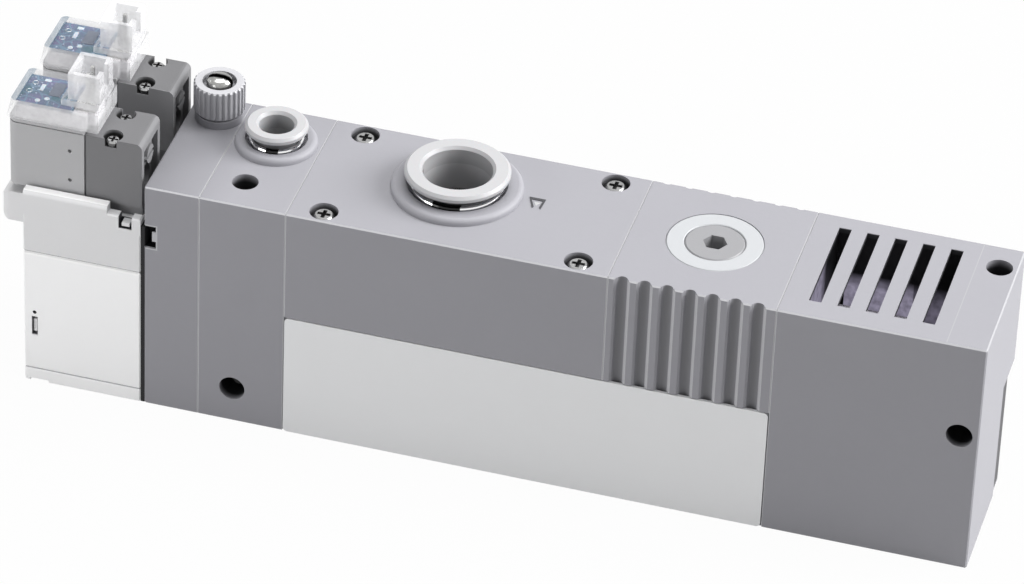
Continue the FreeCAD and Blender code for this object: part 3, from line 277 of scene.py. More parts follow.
@dataclass(frozen=True)
class Plastic(Surface):
    """Moulded plastic: slightly mottled colour, fine grain, uneven gloss."""

    roughness: float = 0.5
    gloss_spread: float = 0.12
    grain_mm: float = 0.35
    grain_depth_mm: float = 0.012
    mottle: float = 0.05
    mottle_mm: float = 14.0
    speck_mm: float = 1.05
    speck_share: float = 0.3
    specular: float = 0.4
    glow: float = 0.0
    glow_mm: float = 0.6
    # Painted glow: lit patches give off light as emission though the surface is no lamp; these set its
    # mottle.
    painted_glow_mm: float = 1.2
    painted_glow_least: float = 0.1
    painted_glow_spread: float = 1.4
    patches: tuple[Patch, ...] = ()
    lit: tuple[Patch, ...] = ()

    def inputs(self, graph: Graph) -> dict:
        """Inputs of the shader, with the patches of other colours, mostly painted shade and highlight, and
        the lit patches of painted glow.
        """
        cloud = graph.noise(self.mottle_mm, detail=3.0)
        speck = graph.noise(self.speck_mm)
        shade = cloud * (1.0 - self.speck_share) + speck * self.speck_share
        dark, light = (scaled(self.colour, 1.0 + side * self.mottle) for side in (-1.0, 1.0))
        colour = graph.blend(shade, dark, light)
        inputs = {
            "Base Color": graph.patched(colour, self.patches),
            "Roughness": (cloud - 0.5) * self.gloss_spread + self.roughness,
            "Normal": graph.bump(graph.noise(self.grain_mm), self.grain_depth_mm),
            "Specular IOR Level": self.specular,
            "Subsurface Weight": self.glow,
            "Subsurface Scale": self.glow_mm * MM,
        }
        if self.lit:
            painted_glow = graph.noise(self.painted_glow_mm, detail=3.0) * self.painted_glow_spread + self.painted_glow_least
            inputs["Emission Color"] = graph.patched((0.0, 0.0, 0.0), self.lit, painted_glow)
            inputs["Emission Strength"] = 1.0
        return inputs


@dataclass(frozen=True)
class Metal(Surface):
    """Metal with fine marks that run one way."""

    roughness: float = 0.25
    cloud_gloss: float = 0.15
    mark_gloss: float = 0.1
    mark_mm: float = 0.4
    mark_depth_mm: float = 0.004
    mark_share: float = 0.4
    cloud_mm: float = 6.0
    stretch: Place = (1.0, 1.0, 1.0)
    metallic: float = 1.0
    tarnish: float = 0.1
    patches: tuple[Patch, ...] = ()

    def inputs(self, graph: Graph) -> dict:
        """Inputs of the shader, with the patches of other colours."""
        marks = graph.noise(self.mark_mm, 3.0, self.stretch)
        cloud = graph.noise(self.cloud_mm, detail=3.0)
        shade = cloud * (1.0 - self.mark_share) + marks * self.mark_share
        colour = graph.blend(shade, scaled(self.colour, 1.0 - self.tarnish), self.colour)
        gloss = (cloud - 0.5) * self.cloud_gloss + (marks - 0.5) * self.mark_gloss + self.roughness
        return {
            "Base Color": graph.patched(colour, self.patches),
            "Roughness": gloss,
            "Normal": graph.bump(marks, self.mark_depth_mm),
            "Metallic": self.metallic,
        }


@dataclass(frozen=True)
class ClearPlastic(Surface):
    """Clear moulded plastic: clear from above, milky on its upright walls and in its tower, where the
    milkiness is partly the plastic's haze and partly painted sheen.
    """

    roughness: float = 0.16
    gloss_spread: float = 0.1
    specular: float = 0.6
    # Opacity by slope and height: the white on walls, steps, tower and rim is partly haze and partly painted
    # sheen.
    top_cover: float = 0.035
    wall_cover: float = 0.36
    step_cover: float = 0.10
    step_z: float = 57.2 * MM
    tower_cover: float = 0.26
    tower_z: float = 58.45 * MM
    rim_cover: float = 0.35
    rim_z: float = 63.35 * MM
    end_cover: float = 0.5
    end_x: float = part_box("supply_circuit_board")[0].x + 0.15 * MM
    end_z: float = 56.9 * MM
    end_tint: Colour = (0.09, 0.15, 0.21)
    flat_level: float = 0.8
    haze_mm: float = 1.7
    haze_spread: float = 0.7
    haze_shade: float = 0.9
    wave_mm: float = 2.0
    wave_depth_mm: float = 0.05

    def inputs(self, graph: Graph) -> dict:
        """Inputs of the shader."""
        waves = graph.noise(self.wave_mm)
        haze = graph.noise(self.haze_mm, detail=3.0)
        normal = graph.add("ShaderNodeTexCoord", output="Normal")
        level = graph.add("ShaderNodeSeparateXYZ", inputs={0: normal}, output="Z").size()
        cover = (1.0 - level ** 2.0) * (self.wall_cover - self.top_cover) + self.top_cover
        steps = {self.step_z: self.step_cover, self.tower_z: self.tower_cover, self.rim_z: self.rim_cover}
        for height, share in steps.items():
            cover = cover.at_least((graph.axis("Z") > height) * share)
        end = (graph.axis("X") < self.end_x) * (graph.axis("Z") > self.end_z) * (level > self.flat_level)
        cover = cover.at_least(end * self.end_cover)
        colour = graph.blend(haze, scaled(self.colour, self.haze_shade), self.colour)
        return {
            "Base Color": graph.blend(end, colour, self.end_tint),
            "Roughness": (haze - 0.5) * self.gloss_spread + self.roughness,
            "Normal": graph.bump(waves, self.wave_depth_mm),
            "Alpha": cover * ((haze - 0.5) * self.haze_spread + 1.0),
            "Specular IOR Level": self.specular,
        }


@dataclass(frozen=True)
class Rubber(Surface):
    """Dull black rubber with a fine dusty grain."""

    roughness: float = 0.75
    gloss_spread: float = 0.2
    specular: float = 0.3
    dust_mm: float = 1.2
    dust_light: float = 1.6
    grain_mm: float = 0.25
    grain_depth_mm: float = 0.02

    def inputs(self, graph: Graph) -> dict:
        """Inputs of the shader."""
        dust = graph.noise(self.dust_mm, detail=4.0)
        grain = graph.noise(self.grain_mm)
        return {
            "Base Color": graph.blend(dust, self.colour, scaled(self.colour, self.dust_light)),
            "Roughness": (dust - 0.5) * self.gloss_spread + self.roughness,
            "Normal": graph.bump(grain, self.grain_depth_mm),
            "Specular IOR Level": self.specular,
        }


@dataclass(frozen=True)
class PorousPlastic(Surface):
    """Sintered filter plastic: bonded beads with dark pores between them."""

    pore: Colour
    roughness: float = 0.7
    gloss_spread: float = 0.2
    bead_mm: float = 0.45
    bead_depth_mm: float = 0.15
    bead_share: float = 1.1
    cloud_mm: float = 3.0
    cloud_share: float = 0.4
    patches: tuple[Patch, ...] = ()

    def inputs(self, graph: Graph) -> dict:
        """Inputs of the shader."""
        cells = graph.cells(self.bead_mm, {})
        cloud = graph.noise(self.cloud_mm, detail=3.0)
        pores = (cells * self.bead_share + (cloud - 0.5) * self.cloud_share) ** 2.0
        return {
            "Base Color": graph.patched(graph.blend(pores, self.colour, self.pore), self.patches),
            "Roughness": cells * self.gloss_spread + self.roughness,
            "Normal": graph.bump(1.0 - cells, self.bead_depth_mm),
        }


@dataclass(frozen=True)
class PrintedBoard(Surface):
    """Blue circuit board with lighter tracks, pale pads and tinted clouds."""

    track: Colour
    pad: Colour
    tint: Colour
    roughness: float = 0.38
    track_mm: float = 2.0
    track_width: float = 0.07
    track_order: float = 0.75
    pad_mm: float = 1.1
    pad_size: float = 0.16
    pad_order: float = 0.6
    pad_gloss: float = 0.15
    pad_metal: float = 0.8
    tint_mm: float = 3.2
    tint_start: float = 0.35
    tint_gain: float = 3.3
    depth_mm: float = 0.04

    def inputs(self, graph: Graph) -> dict:
        """Inputs of the shader."""
        sides = {"feature": "DISTANCE_TO_EDGE", "distance": "EUCLIDEAN"}
        tracks = graph.cells(self.track_mm, {"Randomness": self.track_order}, sides) < self.track_width
        pads = graph.cells(self.pad_mm, {"Randomness": self.pad_order}) < self.pad_size
        cloud = (graph.noise(self.tint_mm) - self.tint_start) * self.tint_gain
        base = graph.blend(cloud.at_least(0.0).at_most(1.0), self.colour, self.tint)
        return {
            "Base Color": graph.blend(pads, graph.blend(tracks, base, self.track), self.pad),
            "Roughness": self.roughness - pads * self.pad_gloss,
            "Metallic": pads * self.pad_metal,
            "Normal": graph.bump(tracks.at_least(pads), self.depth_mm),
        }


@dataclass(frozen=True)
class Winding(Surface):
    """Copper wire wound round the X axis."""

    roughness: float = 0.45
    turn_gloss: float = 0.15
    metallic: float = 0.9
    gap_shade: float = 0.45
    wire_mm: float = 0.16
    wire_depth_mm: float = 0.05
    band_at_scale_one: float = 0.31

    def inputs(self, graph: Graph) -> dict:
        """Inputs of the shader."""
        turns = graph.add(
            "ShaderNodeTexWave",
            {"wave_type": "BANDS", "bands_direction": "X"},
            {"Vector": graph.place(), "Scale": self.band_at_scale_one / (self.wire_mm * MM)},
            output=1,
        )
        return {
            "Base Color": graph.blend(turns, scaled(self.colour, self.gap_shade), self.colour),
            "Roughness": self.roughness - turns * self.turn_gloss,
            "Normal": graph.bump(turns, self.wire_depth_mm),
            "Metallic": self.metallic,
        }


@dataclass(frozen=True)
class StackPlan:
    """Where the blocks' holes, joints and edges lie, with the painted shade, highlights and glow laid on
    them, in millimetres from the stack's front left corner.
    """

    length: float = 147.0
    width: float = 30.0
    height: float = 46.0
    over: float = 0.1
    skin: float = 0.05
    joints: tuple[float, ...] = (9.8, 25.2, 81.8, 111.0)
    joint_half: float = 0.15
    hole_r: float = 2.3
    hole_end: float = 0.3
    down_holes: tuple[Span, ...] = ((15.8, 6.95), (143.8, 23.9))
    down_fade: float = 1.6
    cross_holes: tuple[Span, ...] = ((16.0, 7.0), (143.6, 27.6))
    cross_fade: float = 1.5
    screws: tuple[Span, ...] = ((31.1, 2.96), (75.9, 2.96), (31.1, 27.04), (75.9, 27.04))
    counterbore_r: float = 2.5
    counterbore_floor: float = 40.0
    counterbore_fade: float = 0.9
    # Painted shade: dark colours laid in the cross holes, the notch, the mounting holes and the counterbores.
    shade: Colour = (0.004, 0.004, 0.005)
    top_shade: Colour = (0.018, 0.018, 0.020)
    recess_shade: Colour = (0.07, 0.07, 0.075)
    # Painted highlights, lighter than the body, on the top edges, the joints and the notch's rim.
    painted_highlight: Colour = (0.50, 0.50, 0.52)
    painted_edge_highlight: Colour = (0.46, 0.46, 0.48)
    painted_top_highlight: Colour = (0.335, 0.335, 0.35)
    painted_highlight_width: float = 0.24
    notch_length: float = 2.1
    notch_depth: float = 3.1
    notch_z: Span = (33.4, 38.0)
    notch_rim: float = 0.25
    notch_rim_depth: float = 0.45
    grooves: int = 7
    first_groove: float = 84.25
    groove_pitch: float = 3.93
    groove_y: Span = (0.3, 1.2)
    groove_x: Span = (-1.05, 0.7875)
    groove_fade: float = 0.8
    # Painted shade in the filter case's grooves and a painted highlight beside each.
    groove_shade: Colour = (0.16, 0.16, 0.17)
    light_x: Span = (0.84, 1.47)
    light_depth: float = 0.7
    light_below: float = 0.3
    groove_light: Colour = (0.46, 0.46, 0.48)
    deck_margin: float = 1.0
    deck_rise: float = 1.3
    # Painted shade on the left block's top, near the pilot valves.
    deck_shade: Colour = (0.185, 0.184, 0.20)
    deck_shade_end: float = 15.0
    # Painted shade on the exhaust chamber's walls, on the slots' walls and in the shallow strip on the right
    # end.
    chamber: Patch = Patch((115.1, 2.9, 11.9), (138.1, 27.1, 45.1), (0.012, 0.012, 0.014))
    slots: Patch = Patch((115.1, 4.4, 45.0), (137.2, 26.7, 45.85), (0.03, 0.03, 0.033))
    end_strip: Patch = Patch((146.6, 20.5, 0.5), (146.75, 26.05, 23.55), (0.05, 0.05, 0.055))
    # Painted highlight: a light line across the exhaust block's top.
    end_joint: Patch = Patch((139.9, 0.3, 45.9), (140.05, 29.7, 46.05), (0.335, 0.335, 0.35))
    # Painted glow: purple-grey emission on the chamber's walls, which are no lamp, seen through the slots.
    back_glow: Patch = Patch((117.0, 26.9, 12.0), (129.0, 27.1, 37.0), (0.25, 0.23, 0.31), "+Z", 3.0)
    far_glow: Patch = Patch((129.0, 26.9, 12.0), (138.1, 27.1, 37.0), (0.12, 0.11, 0.15), "+Z", 4.0)
    left_glow: Patch = Patch((115.1, 3.0, 36.0), (115.3, 19.0, 45.05), (0.25, 0.23, 0.31), "+Y", 4.0)
    # Painted shade on the silencer, darker towards the back.
    felt_shade: Patch = Patch((110.0, 17.0, 10.0), (140.0, 30.0, 40.0), (0.03, 0.03, 0.04), "-Y", 8.0)

    def holes(self) -> Iterator[Patch]:
        """Painted shade on the walls of the mounting holes and of the screws' counterbores."""
        reach = self.hole_r + self.skin
        for x, y in self.down_holes:
            yield Patch((x - reach, y - reach, self.hole_end), (x + reach, y + reach, self.height),
                        self.top_shade, "+Z", self.down_fade)
        for x, z in self.cross_holes:
            yield Patch((x - reach, 0.0, z - reach), (x + reach, self.width - self.hole_end, z + reach),
                        self.shade, "-Y", self.cross_fade)
        reach = self.counterbore_r + self.skin
        for x, y in self.screws:
            yield Patch((x - reach, y - reach, self.counterbore_floor), (x + reach, y + reach, self.height),
                        self.recess_shade, "+Z", self.counterbore_fade)

    def notch(self) -> Iterator[Patch]:
        """Painted highlight on the rim and painted shade inside the latch notch in the left edge."""
        long, bottom, top, rim = self.notch_length, *self.notch_z, self.notch_rim
        yield Patch((-self.over, -self.over, bottom - rim), (long + rim, self.notch_rim_depth, top + rim),
                    self.painted_edge_highlight)
        yield Patch((-self.over, self.notch_rim_depth + self.skin, bottom - self.skin),
                    (long + self.skin, self.notch_depth, top + self.skin), self.shade)

    def ribs(self) -> Iterator[Patch]:
        """Painted shade in the grooves of the filter case, each with a painted highlight on its right edge.
        """
        for index in range(self.grooves):
            x = self.first_groove + index * self.groove_pitch
            yield Patch((x + self.groove_x[0], self.groove_y[0], 0.0),
                        (x + self.groove_x[1], self.groove_y[1], self.height - self.skin),
                        self.groove_shade, "-Y", self.groove_fade)
            yield Patch((x + self.light_x[0], -self.over, 0.0),
                        (x + self.light_x[1], self.light_depth, self.height - self.light_below),
                        self.groove_light)

    def deck(self) -> Patch:
        """Painted shade on the top of the left block, darker towards the pilot valves."""
        margin = self.deck_margin
        return Patch((-margin, -margin, self.height - self.skin),
                     (self.deck_shade_end, self.width + margin, self.height + self.deck_rise),
                     self.deck_shade, "+X", self.deck_shade_end)

    def edges(self) -> Iterator[Patch]:
        """Painted highlights along the top edges and at the joints."""
        over, painted_highlight = self.over, self.painted_highlight_width
        top = self.height + over
        yield Patch((-over, -over, self.height - painted_highlight), (self.length + over, painted_highlight, top), self.painted_edge_highlight)
        yield Patch((self.length - painted_highlight, 0.0, self.height - painted_highlight), (self.length + over, self.width, top),
                    self.painted_top_highlight)
        for x in self.joints:
            left, right = x - self.joint_half, x + self.joint_half
            yield Patch((left, -over, 0.0), (right, self.joint_half, top), self.painted_highlight)
            yield Patch((left, 0.0, self.height - self.joint_half), (right, self.width, top), self.painted_top_highlight)

    def patches(self) -> tuple[Patch, ...]:
        """All the patches of the blocks."""
        chamber = (self.chamber, self.slots, self.end_strip, self.end_joint)
        return (self.deck(), *self.edges(), *self.holes(), *self.notch(), *self.ribs(), *chamber)

    def chamber_glow(self) -> tuple[Patch, ...]:
        """Painted glow on the chamber's walls, which shows through the slots."""
        return (self.back_glow, self.far_glow, self.left_glow)


@dataclass(frozen=True)
class ValvePlan:
    """Seams and pockets of the valve unit, with painted highlights on its tops and painted shade in its
    window and pocket, in millimetres from the stack's front left corner.
    """

    low: Place = (-27.5, -0.1, 0.0)
    high: Place = (-0.6, 30.1, 41.0)
    base_top: float = 2.8
    housing_top: float = 27.6
    head_top: float = 40.15
    seam: float = 0.3
    skin: float = 0.01
    line: Colour = (0.27, 0.27, 0.28)
    base_line: Colour = (0.45, 0.45, 0.47)
    # Painted highlight on the top edges, and painted shade in the side window and the latch pocket; the tab
    # keeps the head's own colour.
    glint: Colour = (1.0, 1.0, 1.0)
    window: Patch = Patch((-20.65, 0.25, 9.95), (-19.45, 1.55, 14.05), (0.22, 0.22, 0.23))
    window_top: Patch = Patch((-20.6, 0.05, 14.2), (-19.5, 1.55, 15.6), (0.12, 0.12, 0.13))
    pocket: Patch = Patch((-4.75, 0.25, 36.25), (-2.25, 2.05, 38.65), (0.03, 0.03, 0.035))
    tab: Patch = Patch((-4.3, 0.3, 36.6), (-2.7, 1.95, 37.5), (0.72, 0.72, 0.73))

    def band(self, bottom: float, top: float, colour: Colour) -> Patch:
        """Band round the unit between two heights."""
        return Patch((*self.low[:2], bottom), (*self.high[:2], top), colour)

    def base(self) -> tuple[Patch, ...]:
        """Seam line at the top of the base plate."""
        return (self.band(self.base_top - 0.5 * self.seam, self.base_top + self.skin, self.base_line),)

    def housing(self) -> tuple[Patch, ...]:
        """Painted highlight on the top edge, and painted shade in the window in the side and above it."""
        top = self.housing_top
        return (self.band(top - 2.0 * self.seam, top + self.skin, self.glint), self.window, self.window_top)

    def head(self) -> tuple[Patch, ...]:
        """Seam line at the head's foot, a painted highlight on its top, and painted shade in the latch
        pocket, with its tab in the head's own colour.
        """
        foot = self.band(self.housing_top - self.skin, self.housing_top + self.seam, self.line)
        return (foot, self.band(self.head_top, self.high[2], self.glint), self.pocket, self.tab)


STACK = StackPlan()
UNIT = ValvePlan()


@dataclass(frozen=True)
class TrimPlan:
    """Painted shade and highlights on the rings, the knob, the screws and the pilot valves, and the coil's
    light lip, in millimetres.
    """

    over: float = 0.1
    # Painted shade, for the guide rings' fronts and the needle's slot.
    black: Colour = (0.03, 0.03, 0.03)
    ring_foot: float = 47.0
    ring_rim: float = 49.9
    ring_top: float = 50.26
    # Painted shade on the release rings' chamfers and sides, and on the front of their necks.
    ring_rim_shade: Colour = (0.35, 0.35, 0.36)
    ring_top_shade: Colour = (0.38, 0.38, 0.39)
    neck_top: float = 48.8
    neck_shade: Colour = (0.10, 0.10, 0.105)
    vacuum_gap: Span = (-2.2, 2.7)
    supply_gap: Span = (-0.5, 1.7)
    slot_reach: float = 3.0
    slot_half: float = 0.62
    slot_depth: float = 1.6
    knob_rim: float = 0.25
    # Painted highlight on the knob's top rim.
    knob_highlight: Colour = (0.46, 0.46, 0.48)
    head_foot: float = 40.0
    coil_lip: Span = (53.05, 60.0)
    coil_light: Colour = (0.80, 0.785, 0.80)
    screw_spread: float = 3.4
    screw_sink: float = 0.7
    notch_r: float = 1.8
    notch_wall: float = 0.12
    notch_depth: float = 1.7
    notch_fade: float = 0.7
    # Painted shade on the pilot tops and round their screws, and painted light on the rear pilot's front.
    notch_shade: Colour = (0.02, 0.02, 0.02)
    pilot_top_shade: Colour = (0.145, 0.145, 0.15)
    front_skin: float = 0.06
    rear_front_light: Colour = (0.31, 0.31, 0.32)

    def rings(self) -> tuple[Patch, ...]:
        """Painted shade on the rims of the release rings, and on the front of their necks."""
        patches = [everywhere(self.ring_rim, self.ring_top, self.ring_top_shade),
                   everywhere(self.ring_foot, self.ring_rim, self.ring_rim_shade)]
        for node in ("vacuum_release_ring", "supply_release_ring"):
            low, high = plan_box(node)
            middle = (low.y + high.y) / 2.0
            patches.append(Patch(tuple(low), (high.x, middle, self.neck_top), self.neck_shade))
        return tuple(patches)

    def guides(self) -> tuple[Patch, ...]:
        """Painted shade on the front of each guide ring, which lies in the shade of its release ring."""
        patches = []
        for node, gap in (("vacuum_guide_ring", self.vacuum_gap), ("supply_guide_ring", self.supply_gap)):
            low, high = plan_box(node)
            middle = (low + high) / 2.0
            patches.append(Patch((middle.x + gap[0], low.y - self.over, low.z),
                                 (middle.x + gap[1], middle.y, high.z + self.over), self.black))
        return tuple(patches)

    def needle(self) -> tuple[Patch, ...]:
        """Painted shade on the slot in the needle's head and a band along it."""
        low, high = plan_box("needle_screw")
        x, y = ((low + high) / 2.0)[:2]
        return (Patch((x - self.slot_reach, y - self.slot_half, high.z - self.slot_depth),
                      (x + self.slot_reach, y + self.slot_half, high.z + self.over), self.black),)

    def knob(self) -> tuple[Patch, ...]:
        """Painted highlight on the rim round the knob's top."""
        top = plan_box("adjusting_knob")[1].z
        return (everywhere(top - self.knob_rim, top + self.over, self.knob_highlight),)

    def coil(self) -> tuple[Patch, ...]:
        """Light lip of the coil housing under its cover."""
        return (everywhere(*self.coil_lip, self.coil_light),)

    def driver(self, node: str, depth: float, shade: Colour) -> tuple[Patch, ...]:
        """Painted shade in the recesses of a node's screw heads, from a depth under their tops."""
        return (everywhere(self.head_foot, plan_box(node)[1].z - depth, shade),)

    def pilots(self) -> tuple[Patch, ...]:
        """Painted shade on the walls round the heads of the pilot screws and on the tops, and painted light
        on the rear pilot's front.
        """
        low, high = plan_box("pilot_screws")
        x = (low.x + high.x) / 2.0
        top = high.z + self.screw_sink
        patches = [everywhere(top - self.over, top + self.over, self.pilot_top_shade)]
        for name in ("supply", "release"):
            near, far = plan_box(f"{name}_pilot_body")
            middle = (near.y + far.y) / 2.0
            for y in (middle - self.screw_spread, middle + self.screw_spread):
                front = max(y - self.notch_r, near.y + self.notch_wall)
                back = min(y + self.notch_r, far.y - self.notch_wall)
                patches.append(Patch((x - self.notch_r, front, top - self.notch_depth),
                                     (x + self.notch_r, back, top - STACK.skin),
                                     self.notch_shade, "+Z", self.notch_fade))
            if middle > STACK.width / 2.0:
                patches.append(Patch((near.x - self.over, near.y - self.over, self.head_foot),
                                     (far.x + self.over, near.y + self.front_skin, top), self.rear_front_light))
        return tuple(patches)


TRIM = TrimPlan()


class Finish(Enum):
    """Every finish on the object."""

    BODY = Plastic("Body grey", (0.288, 0.286, 0.310), roughness=0.52, mottle=0.035,
                   patches=STACK.patches(), lit=STACK.chamber_glow())
    VALVE = Plastic("Valve white", (0.96, 0.96, 0.965), roughness=0.45, mottle=0.02, patches=UNIT.housing())
    # Painted light: the base's white is a touch lighter than the housing's, against the shade near the floor.
    VALVE_BASE = Plastic("Valve base white", (0.97, 0.97, 0.975), roughness=0.45, mottle=0.02,
                         patches=UNIT.base())
    VALVE_HEAD = Plastic("Valve head white", (0.72, 0.72, 0.73), roughness=0.5, mottle=0.02,
                         patches=UNIT.head())
    COIL = Plastic("Coil housing grey", (0.43, 0.43, 0.44), roughness=0.5, mottle=0.03, patches=TRIM.coil())
    PILOT = Plastic("Pilot body dark", (0.190, 0.190, 0.197), roughness=0.5, mottle=0.04, specular=0.25,
                    patches=TRIM.pilots())
    KNOB = Plastic("Knob grey", (0.34, 0.34, 0.36), roughness=0.45, mottle=0.03, patches=TRIM.knob())
    PLUG = Plastic("Plug grey", (0.26, 0.26, 0.27), roughness=0.42, mottle=0.03)
    PLUG_RING = Plastic("Plug ring white", (0.43, 0.44, 0.455), roughness=0.5, mottle=0.02, specular=0.3)
    RING = Plastic("Ring white", (0.43, 0.43, 0.44), roughness=0.4, mottle=0.015, glow=0.04,
                   patches=TRIM.rings())
    CLEAR = ClearPlastic("Clear cover", (0.94, 0.94, 0.96))
    BOARD = PrintedBoard("Circuit board", colour=(0.030, 0.105, 0.145), track=(0.090, 0.165, 0.250),
                         pad=(0.42, 0.50, 0.62), tint=(0.095, 0.095, 0.200))
    RUBBER = Rubber("Black rubber", (0.012, 0.012, 0.013))
    POROUS = PorousPlastic("Sintered plastic", (0.52, 0.49, 0.55), (0.16, 0.14, 0.19))
    FELT = PorousPlastic("Silencer plastic", (0.92, 0.88, 0.97), (0.40, 0.37, 0.46),
                         patches=(STACK.felt_shade,))
    PLATE = Metal("Plate silver", (0.76, 0.765, 0.775), 0.45, mark_mm=0.5, mark_depth_mm=0.003,
                  stretch=(0.05, 1.0, 1.0), metallic=0.15, tarnish=0.03)
    STEEL = Metal("Stainless steel", (0.60, 0.60, 0.59), 0.28, mark_mm=0.3, mark_depth_mm=0.006)
    NEEDLE = Metal("Needle steel", (0.52, 0.52, 0.51), 0.2, mark_mm=0.7, mark_depth_mm=0.02, tarnish=0.75,
                   patches=TRIM.needle())
    # Screw recesses get painted shade from below their tops.
    COVER_SCREW = Metal("Cover screw steel", (0.50, 0.50, 0.50), 0.3, mark_mm=0.5, mark_depth_mm=0.03,
                        tarnish=0.5, patches=TRIM.driver("cover_screws", 0.2, shade=(0.17, 0.17, 0.17)))
    PILOT_SCREW = Metal("Pilot screw steel", (0.60, 0.60, 0.60), 0.25, mark_mm=0.5, mark_depth_mm=0.03,
                        tarnish=0.6, patches=TRIM.driver("pilot_screws", 0.25, shade=(0.12, 0.12, 0.12)))
    CHROME = Metal("Bright chrome", (0.90, 0.90, 0.91), 0.12, mark_mm=0.6, mark_depth_mm=0.002,
                   tarnish=0.04, patches=TRIM.guides())
    BRASS = Metal("Nozzle brass", (0.70, 0.50, 0.22), 0.3)
    COPPER = Winding("Copper winding", (0.72, 0.32, 0.16))
    PRINT = Plastic("Printed mark", (0.045, 0.045, 0.05), roughness=0.6, mottle=0.1)
    LAMP = Plastic("Lamp lens", (0.52, 0.58, 0.64), roughness=0.2, mottle=0.02, glow=0.2)
    CHIP = Plastic("Chip grey", (0.130, 0.150, 0.195), roughness=0.6, mottle=0.25, mottle_mm=2.5,
                   specular=0.2)

    def material(self) -> bpy.types.Material:
        """Material of this finish, made the first time it is asked for."""
        return bpy.data.materials.get(self.value.name) or self.value.make()


def dress(node: str, finish: Finish) -> None:
    """Gives a frame node its material.

    Args:
        node: the node's name.
        finish: the finish it gets.
    """
    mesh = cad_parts[node].data
    mesh.materials.clear()
    mesh.materials.append(finish.material())
    log.info("dressed %s as %s", node, finish.value.name)


# Modelling tools


FaceTest = Callable[[bmesh.types.BMFace], bool]


@contextmanager
def editing(piece: bpy.types.Object, test: FaceTest) -> Iterator[None]:
    """Opens a piece in edit mode, with some of its faces selected.

    Args:
        piece: the piece to edit.
        test: says whether a face is selected.
    """
    bpy.context.view_layer.objects.active = piece
    piece.select_set(True)
    bpy.ops.object.mode_set(mode="EDIT")
    bpy.ops.mesh.select_mode(type="FACE")
    bpy.ops.mesh.select_all(action="DESELECT")
    mesh = bmesh.from_edit_mesh(piece.data)
    for face in mesh.faces:
        if test(face):
            face.select_set(True)
    mesh.select_flush(True)
    bmesh.update_edit_mesh(piece.data)
    yield
    bpy.ops.object.mode_set(mode="OBJECT")


def facing(direction: Place, near: float = 0.9) -> FaceTest:
    """Test for faces whose normal points along a unit direction, by at least a share."""
    return lambda face: face.normal.dot(Vector(direction)) > near


class Piece:
    """New surface part, modelled with Blender's own operators."""

    def __init__(self, name: str, shape: Callable[..., set], **size: object) -> None:
        """Adds a primitive and settles its place in its mesh.

        Args:
            name: name of the piece.
            shape: the operator that adds the primitive.
            size: the operator's own settings, in metres.
        """
        bpy.ops.object.select_all(action="DESELECT")
        shape(**size)
        self.object = bpy.context.active_object
        self.object.name = name
        bpy.ops.object.transform_apply(location=True, rotation=True, scale=True)

    def inset(self, test: FaceTest, width: float, depth: float = 0.0) -> "Piece":
        """Insets the faces that pass a test by a width, and moves them by a depth."""
        with editing(self.object, test):
            bpy.ops.mesh.inset(thickness=width, depth=depth)
        return self

    def extrude(self, test: FaceTest, move: Place) -> "Piece":
        """Extrudes the faces that pass a test, as one region."""
        with editing(self.object, test):
            bpy.ops.mesh.extrude_region_move(TRANSFORM_OT_translate={"value": move})
        return self

    def bevel(self, width: float, segments: int = 2, angle: float = 0.6) -> "Piece":
        """Rounds the sharp edges with an applied modifier.

        Args:
            width: width of the rounding, in metres.
            segments: steps in it.
            angle: least angle of an edge that is rounded, in radians.

        Returns:
            The piece.
        """
        rounding = self.object.modifiers.new("Rounding", "BEVEL")
        rounding.width = width
        rounding.segments = segments
        rounding.limit_method = "ANGLE"
        rounding.angle_limit = angle
        bpy.context.view_layer.objects.active = self.object
        bpy.ops.object.modifier_apply(modifier=rounding.name)
        return self

    def smooth(self, angle: float = 0.7) -> "Piece":
        """Shades smooth below an angle, in radians."""
        bpy.ops.object.select_all(action="DESELECT")
        self.object.select_set(True)
        bpy.context.view_layer.objects.active = self.object
        bpy.ops.object.shade_smooth_by_angle(angle=angle)
        return self

    def copy(self, name: str, move: Vector) -> "Piece":
        """Copies the finished piece with its own mesh.

        Args:
            name: name of the copy.
            move: how far it is moved, in metres.

        Returns:
            The copy, on the same body and with the same finish.
        """
        twin = Piece.__new__(Piece)
        twin.object = self.object.copy()
        twin.object.data = self.object.data.copy()
        twin.object.data.transform(Matrix.Translation(move))
        twin.object.name = name
        bpy.context.scene.collection.objects.link(twin.object)
        log.info("copied %s from %s", name, self.object.name)
        return twin

    def finish(self, body: str, slot: str, finish: Finish) -> "Piece":
        """Gives the piece its material and body.

        Args:
            body: frame body it rides on.
            slot: not used.
            finish: its finish.

        Returns:
            The piece.
        """
        self.object.data.materials.clear()
        self.object.data.materials.append(finish.material())
        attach(self.object, body)
        log.info("made %s on %s", self.object.name, body)
        return self


def block(name: str, middle: Vector, size: Place) -> Piece:
    """New block of a size in metres."""
    return Piece(name, bpy.ops.mesh.primitive_cube_add, size=1.0, location=middle, scale=size)


# Sub-assemblies


